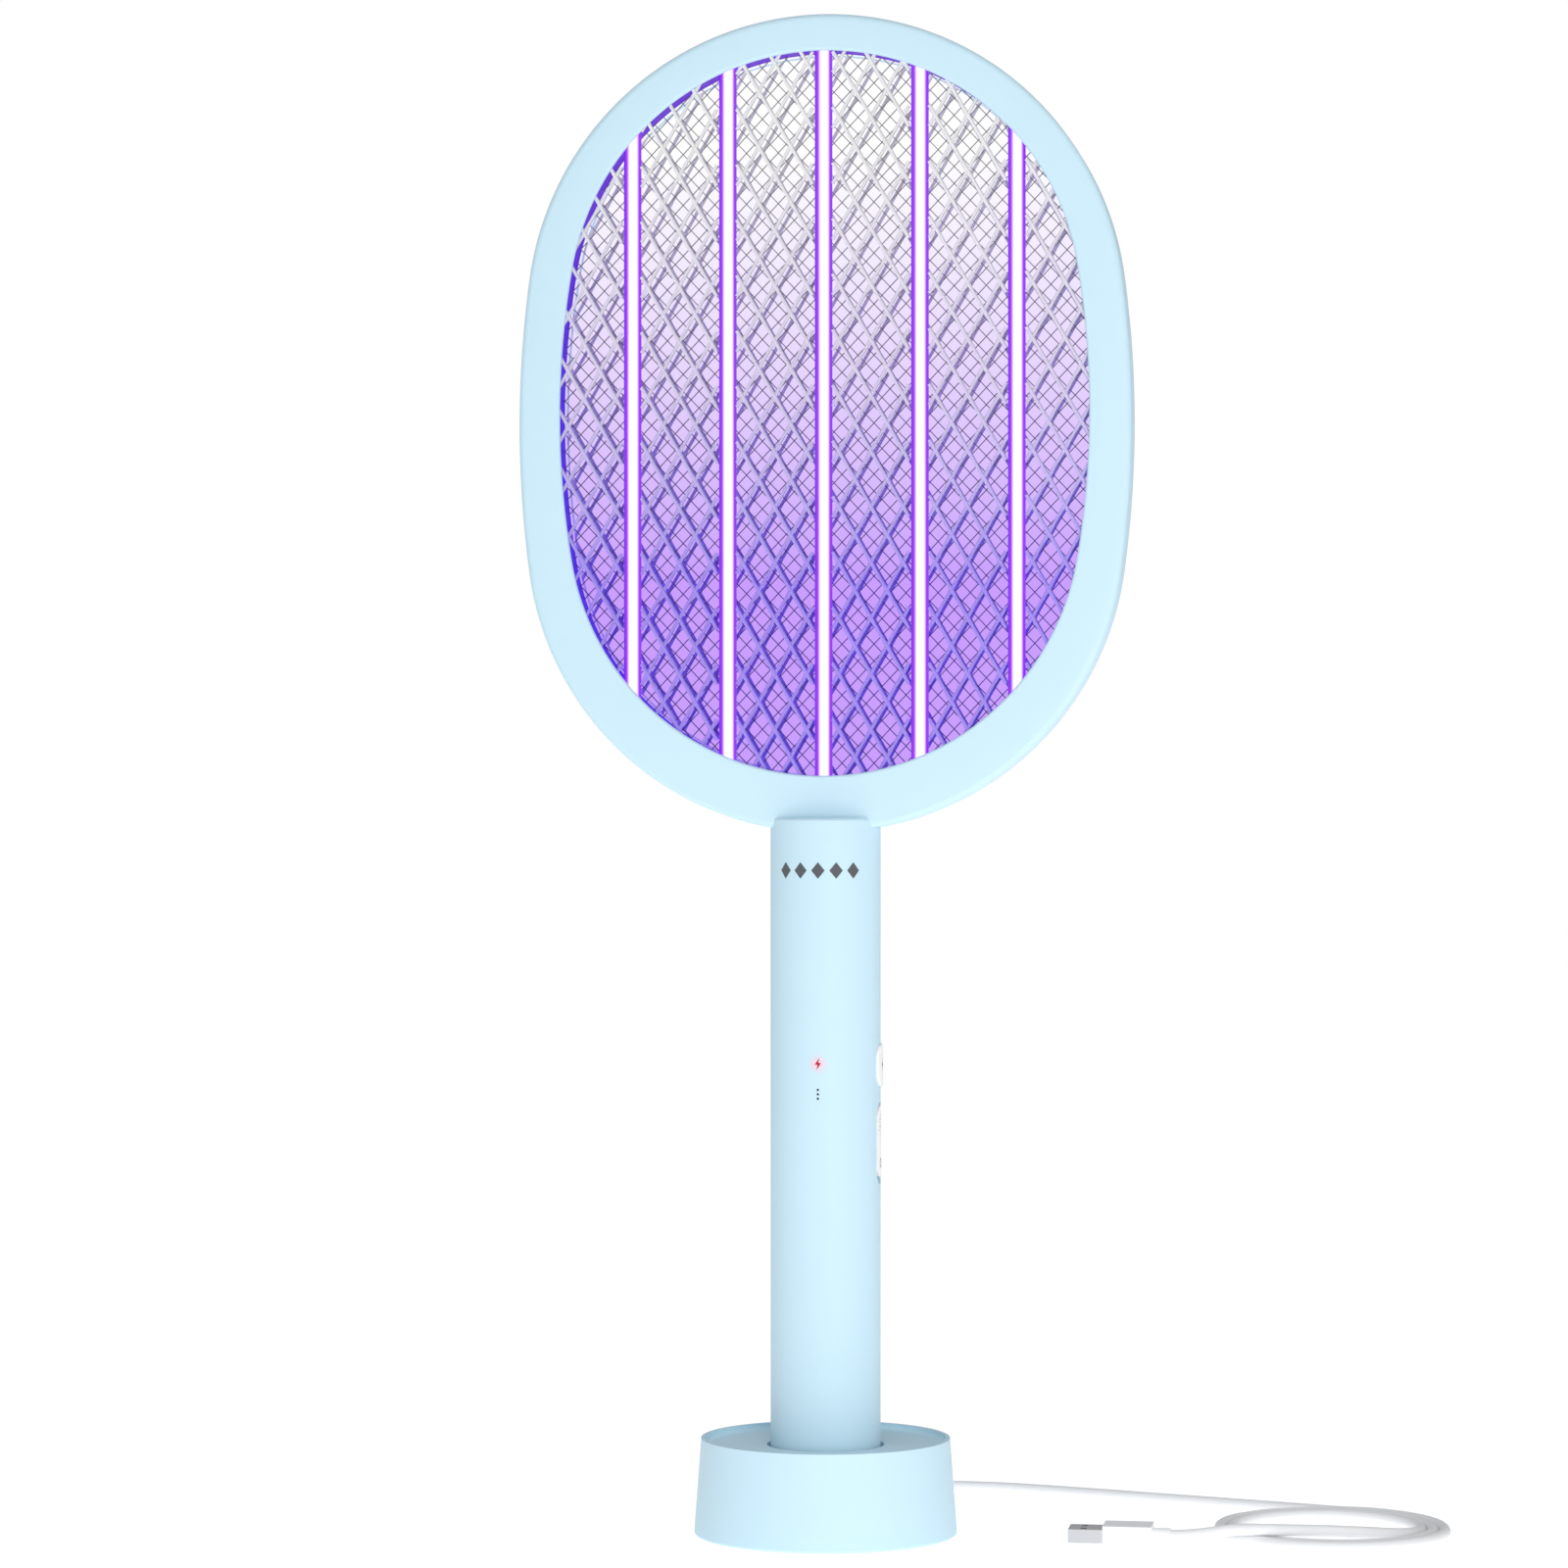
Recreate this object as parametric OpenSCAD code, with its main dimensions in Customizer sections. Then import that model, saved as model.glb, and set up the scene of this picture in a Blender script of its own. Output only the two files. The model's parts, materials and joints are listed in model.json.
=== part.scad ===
// Electric fly swatter that stands in its charging dock.
// Millimetres, +Z up, the net faces -Y.  The origin is the centre of the dock's underside.

/* [Head] */
// Half width of the head's outline
head_half_w = 105; // [95:1:115]
// Half height of the head's outline
head_half_h = 139; // [125:1:150]
// Radius of the outline's top and bottom arcs
head_end_r = 102.5; // [90:0.5:104]
// Height of the head's centre above the table
head_z = 379; // [340:1:420]
// Thickness of the head from front to back
head_t = 18.4; // [16:0.1:24]
// Half width of the net's opening
net_half_w = 90.8; // [80:0.1:96]
// Half height of the net's opening
net_half_h = 123.2; // [110:0.1:130]
// Radius of the opening's top and bottom arcs
net_end_r = 87.8; // [76:0.1:90]
// Height of the opening's centre above the head's centre
net_rise = 3.4; // [0:0.1:6]

/* [Nets] */
// Width of one diamond of the guard nets
guard_pitch_x = 11; // [8:0.5:14]
// Height of one diamond of the guard nets
guard_pitch_z = 18.9; // [14:0.1:24]
// Width of a guard net's strand
guard_strand = 1.3; // [0.8:0.1:2]
// Width of one diamond of the live net
live_pitch_x = 5.5; // [4:0.1:8]
// Height of one diamond of the live net
live_pitch_z = 5.8; // [4:0.1:8]
// Thickness of the live net's wire
live_wire = 0.3; // [0.2:0.05:0.6]
// Distance between neighbouring lamps
lamp_pitch = 33; // [25:1:40]
// Diameter of a lamp tube
lamp_d = 6; // [4:0.1:7]

/* [Handle] */
// Outer diameter of the handle
handle_d = 37.6; // [30:0.1:42]
// Wall thickness of the mouldings
wall = 2.2; // [1.6:0.1:3]
// Height of the lips that clasp the head
lip_z = 244.8; // [242:0.1:250]
// Height of the trigger button's centre
button_z = 160.7; // [150:0.1:180]
// Length of the trigger button
button_len = 14.7; // [10:0.1:20]
// Height of the middle of the power slider's recess
recess_z = 134.1; // [120:0.1:145]
// Length of the power slider's recess
recess_len = 28.2; // [20:0.1:36]
// Length of the power slider
slider_len = 24.3; // [16:0.1:30]

/* [Dock] */
// Diameter across the dock's foot
dock_d = 90; // [70:1:120]
// Diameter across the dock's rim
dock_top_d = 85; // [66:1:118]
// Height of the dock
dock_h = 33.5; // [26:0.5:45]
// Depth of the dock's dished top
dish_depth = 2.3; // [1:0.1:4]
// Diameter of the socket's mouth
socket_d = 40; // [38.5:0.1:44]

/* [Charging lead] */
// Diameter of the lead
lead_d = 4; // [3:0.1:5]
// Distance of the coil's centre to the right of the dock's centre
coil_x = 170; // [150:1:190]
// Distance of the coil's centre behind the dock's centre
coil_y = 25.5; // [0:0.5:60]
// Radius of the coil's outermost turn
coil_r = 40; // [36:0.5:45]

/* [Hidden] */
$fn = 144;
gap = 0.05;
far = 200;

// Ovals are [half width, half height, end radius, centre height]
head_oval = [head_half_w, head_half_h, head_end_r, head_z];
net_oval = [net_half_w, net_half_h, net_end_r, head_z + net_rise];
half_t = head_t / 2;
edge_r = 2.2;              // rounding of the head's outer edge
inner_r = 1;               // rounding of the opening's edge
head_wall = 1.8;
rib_in = 2.6;              // rib that closes the net chamber
rib_out = 4.2;
net_tuck = 2.4;            // how far the nets reach into the head
net_seat = 7.45;           // depth of the seat that holds the stack of nets
guard_t = 0.8;
guard_y = 6.6;             // nearest face of each guard net to the middle plane
live_y = 1.0;              // front face of the live net
lamp_x = [-2 * lamp_pitch, -lamp_pitch, 0, lamp_pitch, 2 * lamp_pitch];
lamp_y = -4.9;
lamp_end = 5;              // how far a lamp reaches into the head
lamp_bore_r = lamp_d / 2 + 0.2;
guard_z0 = 322.2;          // height of one crossing on the middle line
rear_shift = 1;            // the rear net's crossings stand this much to the right

handle_r = handle_d / 2;
bore_r = handle_r - wall;
foot_z = 9.1;              // underside of the handle in the dock
neck_bottom = 236;
lip_edge = 0.7;
neck_r = head_end_r + gap; // the handle's saddle under the head
neck_z = head_z - (head_half_h - head_end_r);
post_r = 3;
screw_r = 1.3;
handle_screw_z = [24, 111.5, 222];
button_w = 10;
recess_w = 10.2;
slider_w = 8.6;
slider_z = recess_z + recess_len / 2 - 1.3 - slider_len / 2;
battery_z = 39.9;
battery_len = 65;
board_x = 4.4;             // face of the circuit board
board_z = [114.6, 203.5];

dock_r = dock_d / 2;
dock_top_r = dock_top_d / 2;
dock_foot_z = 0.7;         // the shell's lower edge
dock_wall = 2;
dish_z = dock_h - dish_depth;
rim_w = 1.5;
cup_r = handle_r + 0.3;
cup_wall = 2;
cup_floor_z = foot_z - 0.1;
pin_x = 7;
pin_r = 1;
usb_z = 13.6;              // height of the charging socket's centre
post_ring_r = 36;
post_angles = [0, 120, 240];
foot_angles = [60, 180, 300];
foot_ring_r = 34;

// The lead leaves the plug's sleeve behind the dock and lies down beside it
lead_r = lead_d / 2;
rest_z = lead_r + 0.05;
turn_gap = 4.1;            // distance between neighbouring turns
coil_in = 72;              // bearing where the lead joins the coil
coil_out = -90;            // bearing where it leaves, two turns later
coil_turn = coil_in - coil_out + 720;
coil_inner_r = coil_r - turn_gap * coil_turn / 360;
climb = 100;               // part of the last turn that climbs onto the others
over_z = rest_z + turn_gap;
lead_route = [
    [0, 65.9, 13.6], [0, 72, 13.3], [0.6, 80, 11.2], [3.6, 88.8, 7.6], [10, 96.6, 4.1],
    [20, 102.2, 2.3], [33, 104.6, rest_z], [50, 103.4, rest_z], [68, 98.8, rest_z],
    [86, 93.2, rest_z], [104, 87.2, rest_z], [122, 81.4, rest_z], [140, 75.6, rest_z],
    [158, 69.8, rest_z], [172, 65.1, rest_z],
    on_coil(coil_in, coil_r, rest_z)];
tail_route = concat(
    [for (i = [0:5]) let (t = i / 5)
        on_coil(coil_out + climb * (1 - t), coil_inner_r + turn_gap * climb * (1 - t) / 360,
            rest_z + turn_gap * t * t * (3 - 2 * t))],
    [[coil_x - 8, coil_y - coil_inner_r, over_z], [coil_x - 16, coil_y - coil_inner_r - 0.1, over_z],
        [coil_x - 24, coil_y - coil_inner_r - 0.4, over_z],
        [coil_x - 32, coil_y - coil_inner_r - 0.9, 5.8],
        [coil_x - 39, coil_y - coil_inner_r - 1.4, 4.7],
        [coil_x - 46, coil_y - coil_inner_r - 1.8, 3.9],
        [coil_x - 52, coil_y - coil_inner_r - 2, 3.65]]);
usb_a_at = tail_route[len(tail_route) - 1];
boot_r = 2.5;
boot_len = 6;

function on_coil(bearing, r, z) = [coil_x + r * cos(bearing), coil_y + r * sin(bearing), z];

// ---- ovals ------------------------------------------------------------------------------

function arm(o) = o[1] - o[2];
function side_r(o) = (o[0] * o[0] + arm(o) * arm(o) - o[2] * o[2]) / (2 * (o[0] - o[2]));
function side_turn(o) = atan(arm(o) / (side_r(o) - o[0]));
function oval_top(o, x) = o[3] + arm(o) + sqrt(o[2] * o[2] - x * x);
function oval_bottom(o, x) = o[3] - arm(o) - sqrt(o[2] * o[2] - x * x);
function grown(o, d) = [o[0] + d, o[1] + d, o[2] + d, o[3]];
function arc_points(cx, cy, r, a, b, n) =
    [for (i = [0:n - 1]) let (t = a + (b - a) * i / n) [cx + r * cos(t), cy + r * sin(t)]];
function oval_points(o) = let (s = side_r(o), u = side_turn(o), k = s - o[0]) concat(
    arc_points(-k, 0, s, -u, u, 12), arc_points(0, arm(o), o[2], u, 180 - u, 48),
    arc_points(k, 0, s, 180 - u, 180 + u, 12), arc_points(0, -arm(o), o[2], 180 + u, 360 - u, 48));

// Places along an oval: [x, z, and the x and z of the direction that leads outwards]
function arc_stations(cx, cz, r, a, b, n) =
    [for (i = [0:n - 1]) let (t = a + (b - a) * i / n) [cx + r * cos(t), cz + r * sin(t), cos(t), sin(t)]];
function stations(o) = let (s = side_r(o), u = side_turn(o), k = s - o[0], m = arm(o)) concat(
    arc_stations(-k, o[3], s, -u, u, 16), arc_stations(0, o[3] + m, o[2], u, 180 - u, 56),
    arc_stations(k, o[3], s, 180 - u, 180 + u, 16),
    arc_stations(0, o[3] - m, o[2], 180 + u, 360 - u, 56));

// A section of the head is a list of [line, distance, depth].  Line 0 is the opening and the
// distance counts outwards; line 1 is the outline and the distance counts inwards.
module band(section) {
    lines = [stations(net_oval), stations(head_oval)];
    n = len(lines[0]);
    m = len(section);
    polyhedron(
        points = [for (i = [0:n - 1], p = section)
            let (q = lines[p[0]][i], d = p[0] == 0 ? p[1] : -p[1]) [q[0] + q[2] * d, p[2], q[1] + q[3] * d]],
        faces = [for (i = [0:n - 1], k = [0:m - 1])
            let (j = (i + 1) % n, h = (k + 1) % m, a = i * m + k, b = i * m + h, c = j * m + h, d = j * m + k)
                each [[a, b, c], [a, c, d]]]);
}

// A rectangle from x0 to x1 and y0 to y1
module span(x0, x1, y0, y1) translate([x0, y0]) square([x1 - x0, y1 - y0]);

// A cylinder whose axis runs along Y, from y0 to y1
module along_y(r, y0, y1) translate([0, y1, 0]) rotate([90, 0, 0]) cylinder(r = r, h = y1 - y0);

// A flat-sided outline with round ends, len long and w wide
module pill(len, w) {
    span(-w / 2, w / 2, -(len - w) / 2, (len - w) / 2);
    for (s = [-1, 1]) translate([0, s * (len - w) / 2]) circle(d = w);
}

// A pill that stands up, pushed out to the right from x0 to x1
module pill_right(len, w, x0, x1, z) translate([x0, 0, z]) rotate([90, 0, 90])
    linear_extrude(x1 - x0) pill(len, w);

// ---- head -------------------------------------------------------------------------------

// Section of half the hollow ring: round outer edge, flat face, soft inner edge, seat and rib
arc_steps = 6;
half_section = concat(
    [[1, 0, 0]],
    [for (i = [0:arc_steps]) let (t = 90 * i / arc_steps)
        [1, edge_r * (1 - cos(t)), -half_t + edge_r * (1 - sin(t))]],
    [for (i = [0:arc_steps]) let (t = 90 * i / arc_steps)
        [0, inner_r * (1 - sin(t)), -half_t + inner_r * (1 - cos(t))]],
    [[0, 0, -net_seat], [0, rib_in, -net_seat], [0, rib_in, 0], [0, rib_out, 0],
        [0, rib_out, -half_t + head_wall], [1, head_wall, -half_t + head_wall], [1, head_wall, 0]]);

// Screws stand half way between the two outlines: [x, z]
head_mid_r = (head_end_r + net_end_r) / 2;
head_mid_arm = (arm(head_oval) + arm(net_oval)) / 2;
head_mid_z = head_z + net_rise / 2;
head_screw_at = concat(
    [for (a = [-55, -10, 10, 55]) [head_mid_r * sin(a), head_mid_z + head_mid_arm + head_mid_r * cos(a)]],
    [for (a = [-60, -25, 25, 60]) [head_mid_r * sin(a), head_mid_z - head_mid_arm - head_mid_r * cos(a)]],
    [for (s = [-1, 1]) [s * (head_half_w + net_half_w) / 2, head_mid_z]]);
boss_r = 2.8;
pilot_r = 1.2;
neck_plug = [24, 12];      // bracket that joins head and handle, x and y

// The front half of the hollow ring, with its parting face on the middle plane
module half_ring() difference() {
    union() {
        band(half_section);
        for (p = head_screw_at) translate([p[0], 0, p[1]])
            along_y(boss_r, -half_t + head_wall - 0.5, -0.02);
    }
    translate([-neck_plug[0] / 2 - 0.1, -neck_plug[1] / 2 - 0.1, head_z - head_half_h - 3])
        cube([neck_plug[0] + 0.2, neck_plug[1] + 0.2, 6]);
}

// Heights of a lamp's two ends, with the nearer side of each end past the rib
function lamp_top(x) = oval_top(grown(net_oval, lamp_end), abs(x) - lamp_d / 2);
function lamp_foot(x) = oval_bottom(grown(net_oval, lamp_end), abs(x) - lamp_d / 2);

module lamp_bores() for (x = lamp_x) translate([x, lamp_y, lamp_foot(x) - 0.6])
    cylinder(r = lamp_bore_r, h = lamp_top(x) - lamp_foot(x) + 1.2);

module head_front_shell() color("#CFEBF8") difference() {
    half_ring();
    lamp_bores();
    for (p = head_screw_at) translate([p[0], 0, p[1]]) along_y(pilot_r + gap, -6.6, 1);
}

module head_rear_shell() color("#CFEBF8") difference() {
    mirror([0, 1, 0]) half_ring();
    for (p = head_screw_at) translate([p[0], 0, p[1]]) {
        along_y(pilot_r + 0.2, -1, half_t + 1);
        along_y(2.4, half_t - 2, half_t + 1);
    }
}

// A flat ring round the net chamber, between two depths
module chamber_ring(y0, y1) band([[0, 0.4, y0], [0, 0.4, y1], [0, net_tuck, y1], [0, net_tuck, y0]]);

module light_guide_front() color("#7A35E8") difference() {
    chamber_ring(-guard_y + gap, 0.9);
    lamp_bores();
}

module light_guide_rear() color("#7A35E8") chamber_ring(1.65, guard_y - gap);

// One diamond of a net, w wide and h high between its corners
module diamond(w, h) polygon([[w / 2, 0], [0, h / 2], [-w / 2, 0], [0, -h / 2]]);

// Expanded sheet: an oval rim with rows of diamonds, each row shifted half a diamond
module guard_net_2d(shift) {
    reach = guard_pitch_x * guard_pitch_z / 4 / norm([guard_pitch_x / 2, guard_pitch_z / 2]);
    k = (reach - guard_strand / 2) / reach;
    difference() {
        polygon(oval_points(grown(net_oval, net_tuck)));
        intersection() {
            polygon(oval_points(grown(net_oval, net_tuck - 1)));
            union() for (row = [-8:20], col = [-9:9])
                translate([shift + (col + (row % 2 == 0 ? 0.5 : 0)) * guard_pitch_x,
                        guard_z0 - net_oval[3] + row * guard_pitch_z / 2])
                    diamond(guard_pitch_x * k, guard_pitch_z * k);
        }
    }
}

module on_face(y, t) translate([0, y + t, net_oval[3]]) rotate([90, 0, 0]) linear_extrude(t) children();

// The lamps stand in slots of the front net, which leave six panels of it
module front_guard_net() color("#C9C9CE") on_face(-guard_y - guard_t, guard_t) difference() {
    guard_net_2d(0);
    for (x = lamp_x) span(x - lamp_d / 2 - 0.3, x + lamp_d / 2 + 0.3, -far, far);
}

module rear_guard_net() color("#8E8E96") on_face(guard_y, guard_t) guard_net_2d(rear_shift);

// Wires of the live net that lean one way, cut to the oval
module live_wires(lean) {
    step = live_pitch_x * live_pitch_z / norm([live_pitch_x, live_pitch_z]);
    intersection() {
        polygon(oval_points(grown(net_oval, net_tuck - 0.2)));
        for (i = [-30:30]) rotate(lean * atan(live_pitch_z / live_pitch_x))
            translate([-far, (i + 0.5) * step - live_wire / 2]) square([2 * far, live_wire]);
    }
}

module live_net() color("#55555C") {
    on_face(live_y, live_wire) live_wires(1);
    on_face(live_y + live_wire + 0.02, live_wire) live_wires(-1);
}

module lamp(i) color("#F6F0FF") let (x = lamp_x[i - 1]) translate([x, lamp_y, lamp_foot(x)])
    cylinder(d = lamp_d, h = lamp_top(x) - lamp_foot(x));

// A piece at both ends of each lamp, lifted off the end by d
module lamp_ends(d) for (x = lamp_x) {
    translate([x, lamp_y, lamp_top(x) + d]) children();
    translate([x, lamp_y, lamp_foot(x) - d]) mirror([0, 0, 1]) children();
}

module lamp_leds() color("#E8E2B0") lamp_ends(0.1) translate([-1.6, -1.6, 0]) cube([3.2, 3.2, 1]);

module lamp_boards() color("#2F7A4A") lamp_ends(1.1) translate([-2.6, -2.4, 0]) cube([5.2, 4.8, 0.7]);

module head_screws() color("#B9BCC2") for (p = head_screw_at) translate([p[0], 0, p[1]]) {
    along_y(pilot_r, -6, half_t - 2);
    along_y(2.2, half_t - 2, half_t - 0.5);
}

module neck_bracket() color("#D8D8D8") difference() {
    translate([-neck_plug[0] / 2, -neck_plug[1] / 2, 206]) cube([neck_plug[0], neck_plug[1], 41]);
    translate([-6, -3, 205]) cube([12, 6, 43]);
    translate([0, 0, handle_screw_z[2]]) along_y(screw_r + gap, -far, far);
}

module net_leads() color("#B03030") for (x = [-3.5, 0, 3.5]) translate([x, 0, board_z[1] + 0.2])
    cylinder(r = 0.7, h = 250 - board_z[1]);

// ---- handle -----------------------------------------------------------------------------

module side_cuts() {
    pill_right(button_len + 0.5, button_w + 0.5, 10, 25, button_z);
    pill_right(recess_len, recess_w, 10, 25, recess_z);
}

// The space that the head's rounded edge takes up between the handle's lips
module head_edge_space() translate([0, 0, neck_z]) rotate([-90, 0, 0]) rotate_extrude()
    polygon(concat([[60, 1], [60, -half_t - gap]],
        [for (i = [0:arc_steps]) let (t = -90 + 90 * i / arc_steps)
            [head_end_r - edge_r + (edge_r + gap) * cos(t), -half_t + edge_r + (edge_r + gap) * sin(t)]],
        [[neck_r, 1]]));

// Half of the handle's tube, on the -Y side, closed at the neck where it clasps the head
module half_handle() difference() {
    intersection() {
        union() {
            translate([0, 0, foot_z]) cylinder(r = handle_r, h = lip_z - lip_edge - foot_z);
            translate([0, 0, lip_z - lip_edge])
                cylinder(r1 = handle_r, r2 = handle_r - lip_edge, h = lip_edge);
        }
        translate([-far, -far, 0]) cube([2 * far, far, 2 * far]);
    }
    cylinder(r = bore_r, h = neck_bottom);
    head_edge_space();
    translate([-neck_plug[0] / 2 - 0.1, -neck_plug[1] / 2 - 0.1, neck_bottom - 1])
        cube([neck_plug[0] + 0.2, far, 12]);
    side_cuts();
}

// The charge sign, a bolt of lightning that is h high
module bolt_sign(h) scale(h / 10)
    polygon([[1.2, 5], [-2.6, -0.6], [-0.3, -0.6], [-1.2, -5], [2.6, 0.9], [0.3, 0.9]]);

bolt_z = 161.9;
bolt_h = 4.2;
dots_z = [153.2, 151.7, 150.2];
dot_r = 0.42;

// The charge sign and the level dots, from depth d outwards
module front_signs(d, h) rotate([90, 0, 0]) {
    translate([0, bolt_z, d]) linear_extrude(h) bolt_sign(bolt_h);
    level_dots(d, h);
}

module level_dots(d, h) for (z = dots_z) translate([0, z, d]) cylinder(r = dot_r, h = h);

module handle_front_shell() color("#CFEBF8") difference() {
    union() {
        half_handle();
        for (z = [handle_screw_z[0], handle_screw_z[1]]) translate([0, 0, z])
            along_y(post_r, -bore_r - 0.6, -0.02);
    }
    for (z = [handle_screw_z[0], handle_screw_z[1]]) translate([0, 0, z]) along_y(screw_r + gap, -10, 1);
    front_signs(bore_r - 1, 4);
}

module handle_rear_shell() color("#CFEBF8") difference() {
    union() {
        mirror([0, 1, 0]) half_handle();
        for (z = [handle_screw_z[0], handle_screw_z[1]]) translate([0, 0, z])
            along_y(post_r, 0.02, bore_r + 0.6);
        translate([0, 0, handle_screw_z[2]]) along_y(post_r, neck_plug[1] / 2 + gap, bore_r + 0.6);
    }
    for (z = handle_screw_z) translate([0, 0, z]) {
        along_y(screw_r + 0.2, -1, 25);
        along_y(2.6, bore_r - 0.3, 25);
    }
}

module handle_screws() color("#B9BCC2") for (z = handle_screw_z) translate([0, 0, z]) {
    along_y(screw_r, z > 200 ? 1.5 : -8, bore_r - 0.3);
    along_y(2.4, bore_r - 0.3, bore_r + 1.2);
}

module handle_end_cap() color("#CFEBF8") difference() {
    translate([0, 0, foot_z]) cylinder(r = bore_r - 0.1, h = 4.4);
    for (s = [-1, 1]) translate([s * pin_x, 0, 0]) cylinder(r = 2.2, h = 20);
}

module charge_pads() color("#D9B45A") for (s = [-1, 1]) translate([s * pin_x, 0, foot_z])
    cylinder(r = 2.15, h = 4.4);

module bolt_window() color("#E02828") intersection() {
    rotate([90, 0, 0]) translate([0, bolt_z, bore_r + 0.1]) linear_extrude(3) bolt_sign(bolt_h);
    translate([0, 0, 150]) cylinder(r = handle_r, h = 20);
}

module level_windows() color("#303036") intersection() {
    rotate([90, 0, 0]) level_dots(bore_r + 0.1, 3);
    translate([0, 0, 140]) cylinder(r = handle_r, h = 20);
}

module sign_board() color("#2F7A4A") translate([-6, -14.4, 145]) cube([9.8, 1.2, 20]);

module sign_leds() color("#E8E2B0") {
    translate([-1.5, -16, bolt_z - 1.5]) cube([3, 1.6, 3]);
    for (z = dots_z) translate([-0.8, -15.4, z - 0.5]) cube([1.6, 1, 1]);
}

module circuit_board() color("#2F7A4A") translate([board_x, -13, board_z[0]])
    cube([1.6, 26, board_z[1] - board_z[0]]);

module transformer() color("#E0C860") difference() {
    translate([board_x - 14.1, -8, 178]) cube([14, 16, 18]);
    for (y = [-6, 2]) translate([board_x - 14.2, y, 182]) cube([9, 4, 10]);
}

module capacitor() color("#B5482A") translate([board_x - 9.1, -8, 158]) cube([9, 16, 14]);

module diodes() color("#303030") for (i = [0:3]) translate([board_x - 1.6, -6 + 4 * i, 146])
    cylinder(r = 1.35, h = 6);

module tact_switch() color("#282828") {
    translate([board_x + 1.65, -3, button_z - 3]) cube([5, 6, 6]);
    translate([board_x + 6.6, 0, button_z]) rotate([0, 90, 0]) cylinder(r = 1.6, h = 0.9);
}

module slide_switch() color("#A8ABB0") difference() {
    translate([board_x + 1.65, -3.5, recess_z - 9]) cube([5.6, 7, 18]);
    translate([board_x + 5, -1.6, recess_z - 6.5]) cube([4, 3.2, 13]);
}

// The trigger's cap follows the handle's curve and stands 0.8 mm proud; a flange keeps it in
module trigger_button() color("#FCFCFC") intersection() {
    union() {
        pill_right(button_len, button_w, 13, 25, button_z);
        pill_right(button_len + 2.4, button_w + 2, 13, 14.6, button_z);
    }
    translate([0, 0, button_z - far / 2]) cylinder(r = handle_r + 0.8, h = far);
}

module slider_track() color("#C4DCE8") difference() {
    pill_right(recess_len + 2.4, recess_w + 2, 13.4, 14.9, recess_z);
    translate([12, -1.9, slider_z - 6.5]) cube([5, 3.8, 11]);
}

module power_slider() color("#FCFCFC") {
    difference() {
        intersection() {
            pill_right(slider_len, slider_w, 15.1, 25, slider_z);
            translate([0, 0, slider_z - far / 2]) cylinder(r = handle_r + 0.2, h = far);
        }
        for (i = [-2:2]) translate([handle_r - 0.3, -3, slider_z + 6.5 + i * 1.3 - 0.3]) cube([2, 6, 0.6]);
    }
    translate([10.2, -1.2, slider_z - 4.2]) cube([5.2, 2.4, 8]);
}

module battery_cell() color("#3D74C8") translate([0, 0, battery_z]) cylinder(r = 9.2, h = battery_len);

module battery_bulkheads() color("#D8D8D8")
    for (z = [battery_z - 3.5, battery_z + battery_len + 0.5]) difference() {
        translate([0, 0, z]) cylinder(r = bore_r - 0.2, h = 3);
        for (s = [-1, 1]) translate([s * 12.5, 0, z - 1]) cylinder(r = 1.6, h = 5);
    }

module battery_tabs() color("#C8CACE")
    for (z = [battery_z - 0.45, battery_z + battery_len + 0.05]) translate([0, 0, z]) cylinder(r = 5, h = 0.4);

module battery_leads() color("#303030") for (s = [-1, 1])
    translate([s * 12.5, 0, foot_z + 5]) cylinder(r = 0.8, h = 20 + battery_z + battery_len - 18.5);

// ---- dock -------------------------------------------------------------------------------

function dock_r_at(z) = dock_r - (dock_r - dock_top_r) * z / dock_h;

module dock_section() difference() {
    polygon([[socket_d / 2, dock_foot_z], [dock_r_at(dock_foot_z), dock_foot_z],
        [dock_top_r, dock_h], [socket_d / 2, dock_h]]);
    polygon([[0, 0], [dock_r - dock_wall, 0], [dock_r_at(dish_z) - dock_wall, dish_z - 2],
        [0, dish_z - 2]]);
    difference() {
        span(0, dock_top_r - rim_w, dish_z, dock_h + 1);
        translate([dock_top_r - rim_w - 1.6, dish_z]) difference() {
            square(1.6);
            translate([0, 1.6]) circle(1.6);
        }
    }
    translate([dock_r_at(dock_foot_z) - 1.2, dock_foot_z + 1.2]) difference() {
        span(0, 2.5, -2.5, 0);
        circle(1.2);
    }
}

// The charging socket's opening in the back wall
module usb_opening() translate([0, 38, usb_z]) rotate([-90, 0, 0]) rotate(90)
    linear_extrude(10) pill(9.6, 4);

module dock_posts(r, z0, z1) for (a = post_angles)
    translate([post_ring_r * cos(a), post_ring_r * sin(a), z0]) cylinder(r = r, h = z1 - z0);

module dock_shell() color("#CFEBF8") difference() {
    union() {
        rotate_extrude() dock_section();
        dock_posts(3, 3.3, dish_z - 1.5);
    }
    dock_posts(screw_r + gap, 3, 16);
    usb_opening();
}

module socket_cup() color("#B9D3E0") difference() {
    rotate_extrude() difference() {
        span(0, cup_r + cup_wall, 3.3, dish_z - 2.1);
        span(0, cup_r, cup_floor_z, far);
        span(0, 12, cup_floor_z - 0.8, far);
        span(0, cup_r, 0, cup_floor_z - 2.4);
    }
    for (s = [-1, 1]) translate([s * pin_x, 0, 3]) cylinder(r = 1.6, h = 10);
}

module dock_base_plate() color("#E4EEF3") difference() {
    translate([0, 0, 1.2]) cylinder(r = dock_r - dock_wall - 0.4, h = 2);
    dock_posts(screw_r + 0.2, 0, 5);
    dock_posts(2.6, 0, 2);
}

module dock_feet() color("#50555A") for (a = foot_angles)
    translate([foot_ring_r * cos(a), foot_ring_r * sin(a), 0]) cylinder(r = 5, h = 1.2);

module dock_screws() color("#B9BCC2") {
    dock_posts(screw_r, 2, 14);
    dock_posts(2.4, 1, 2);
}

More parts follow.
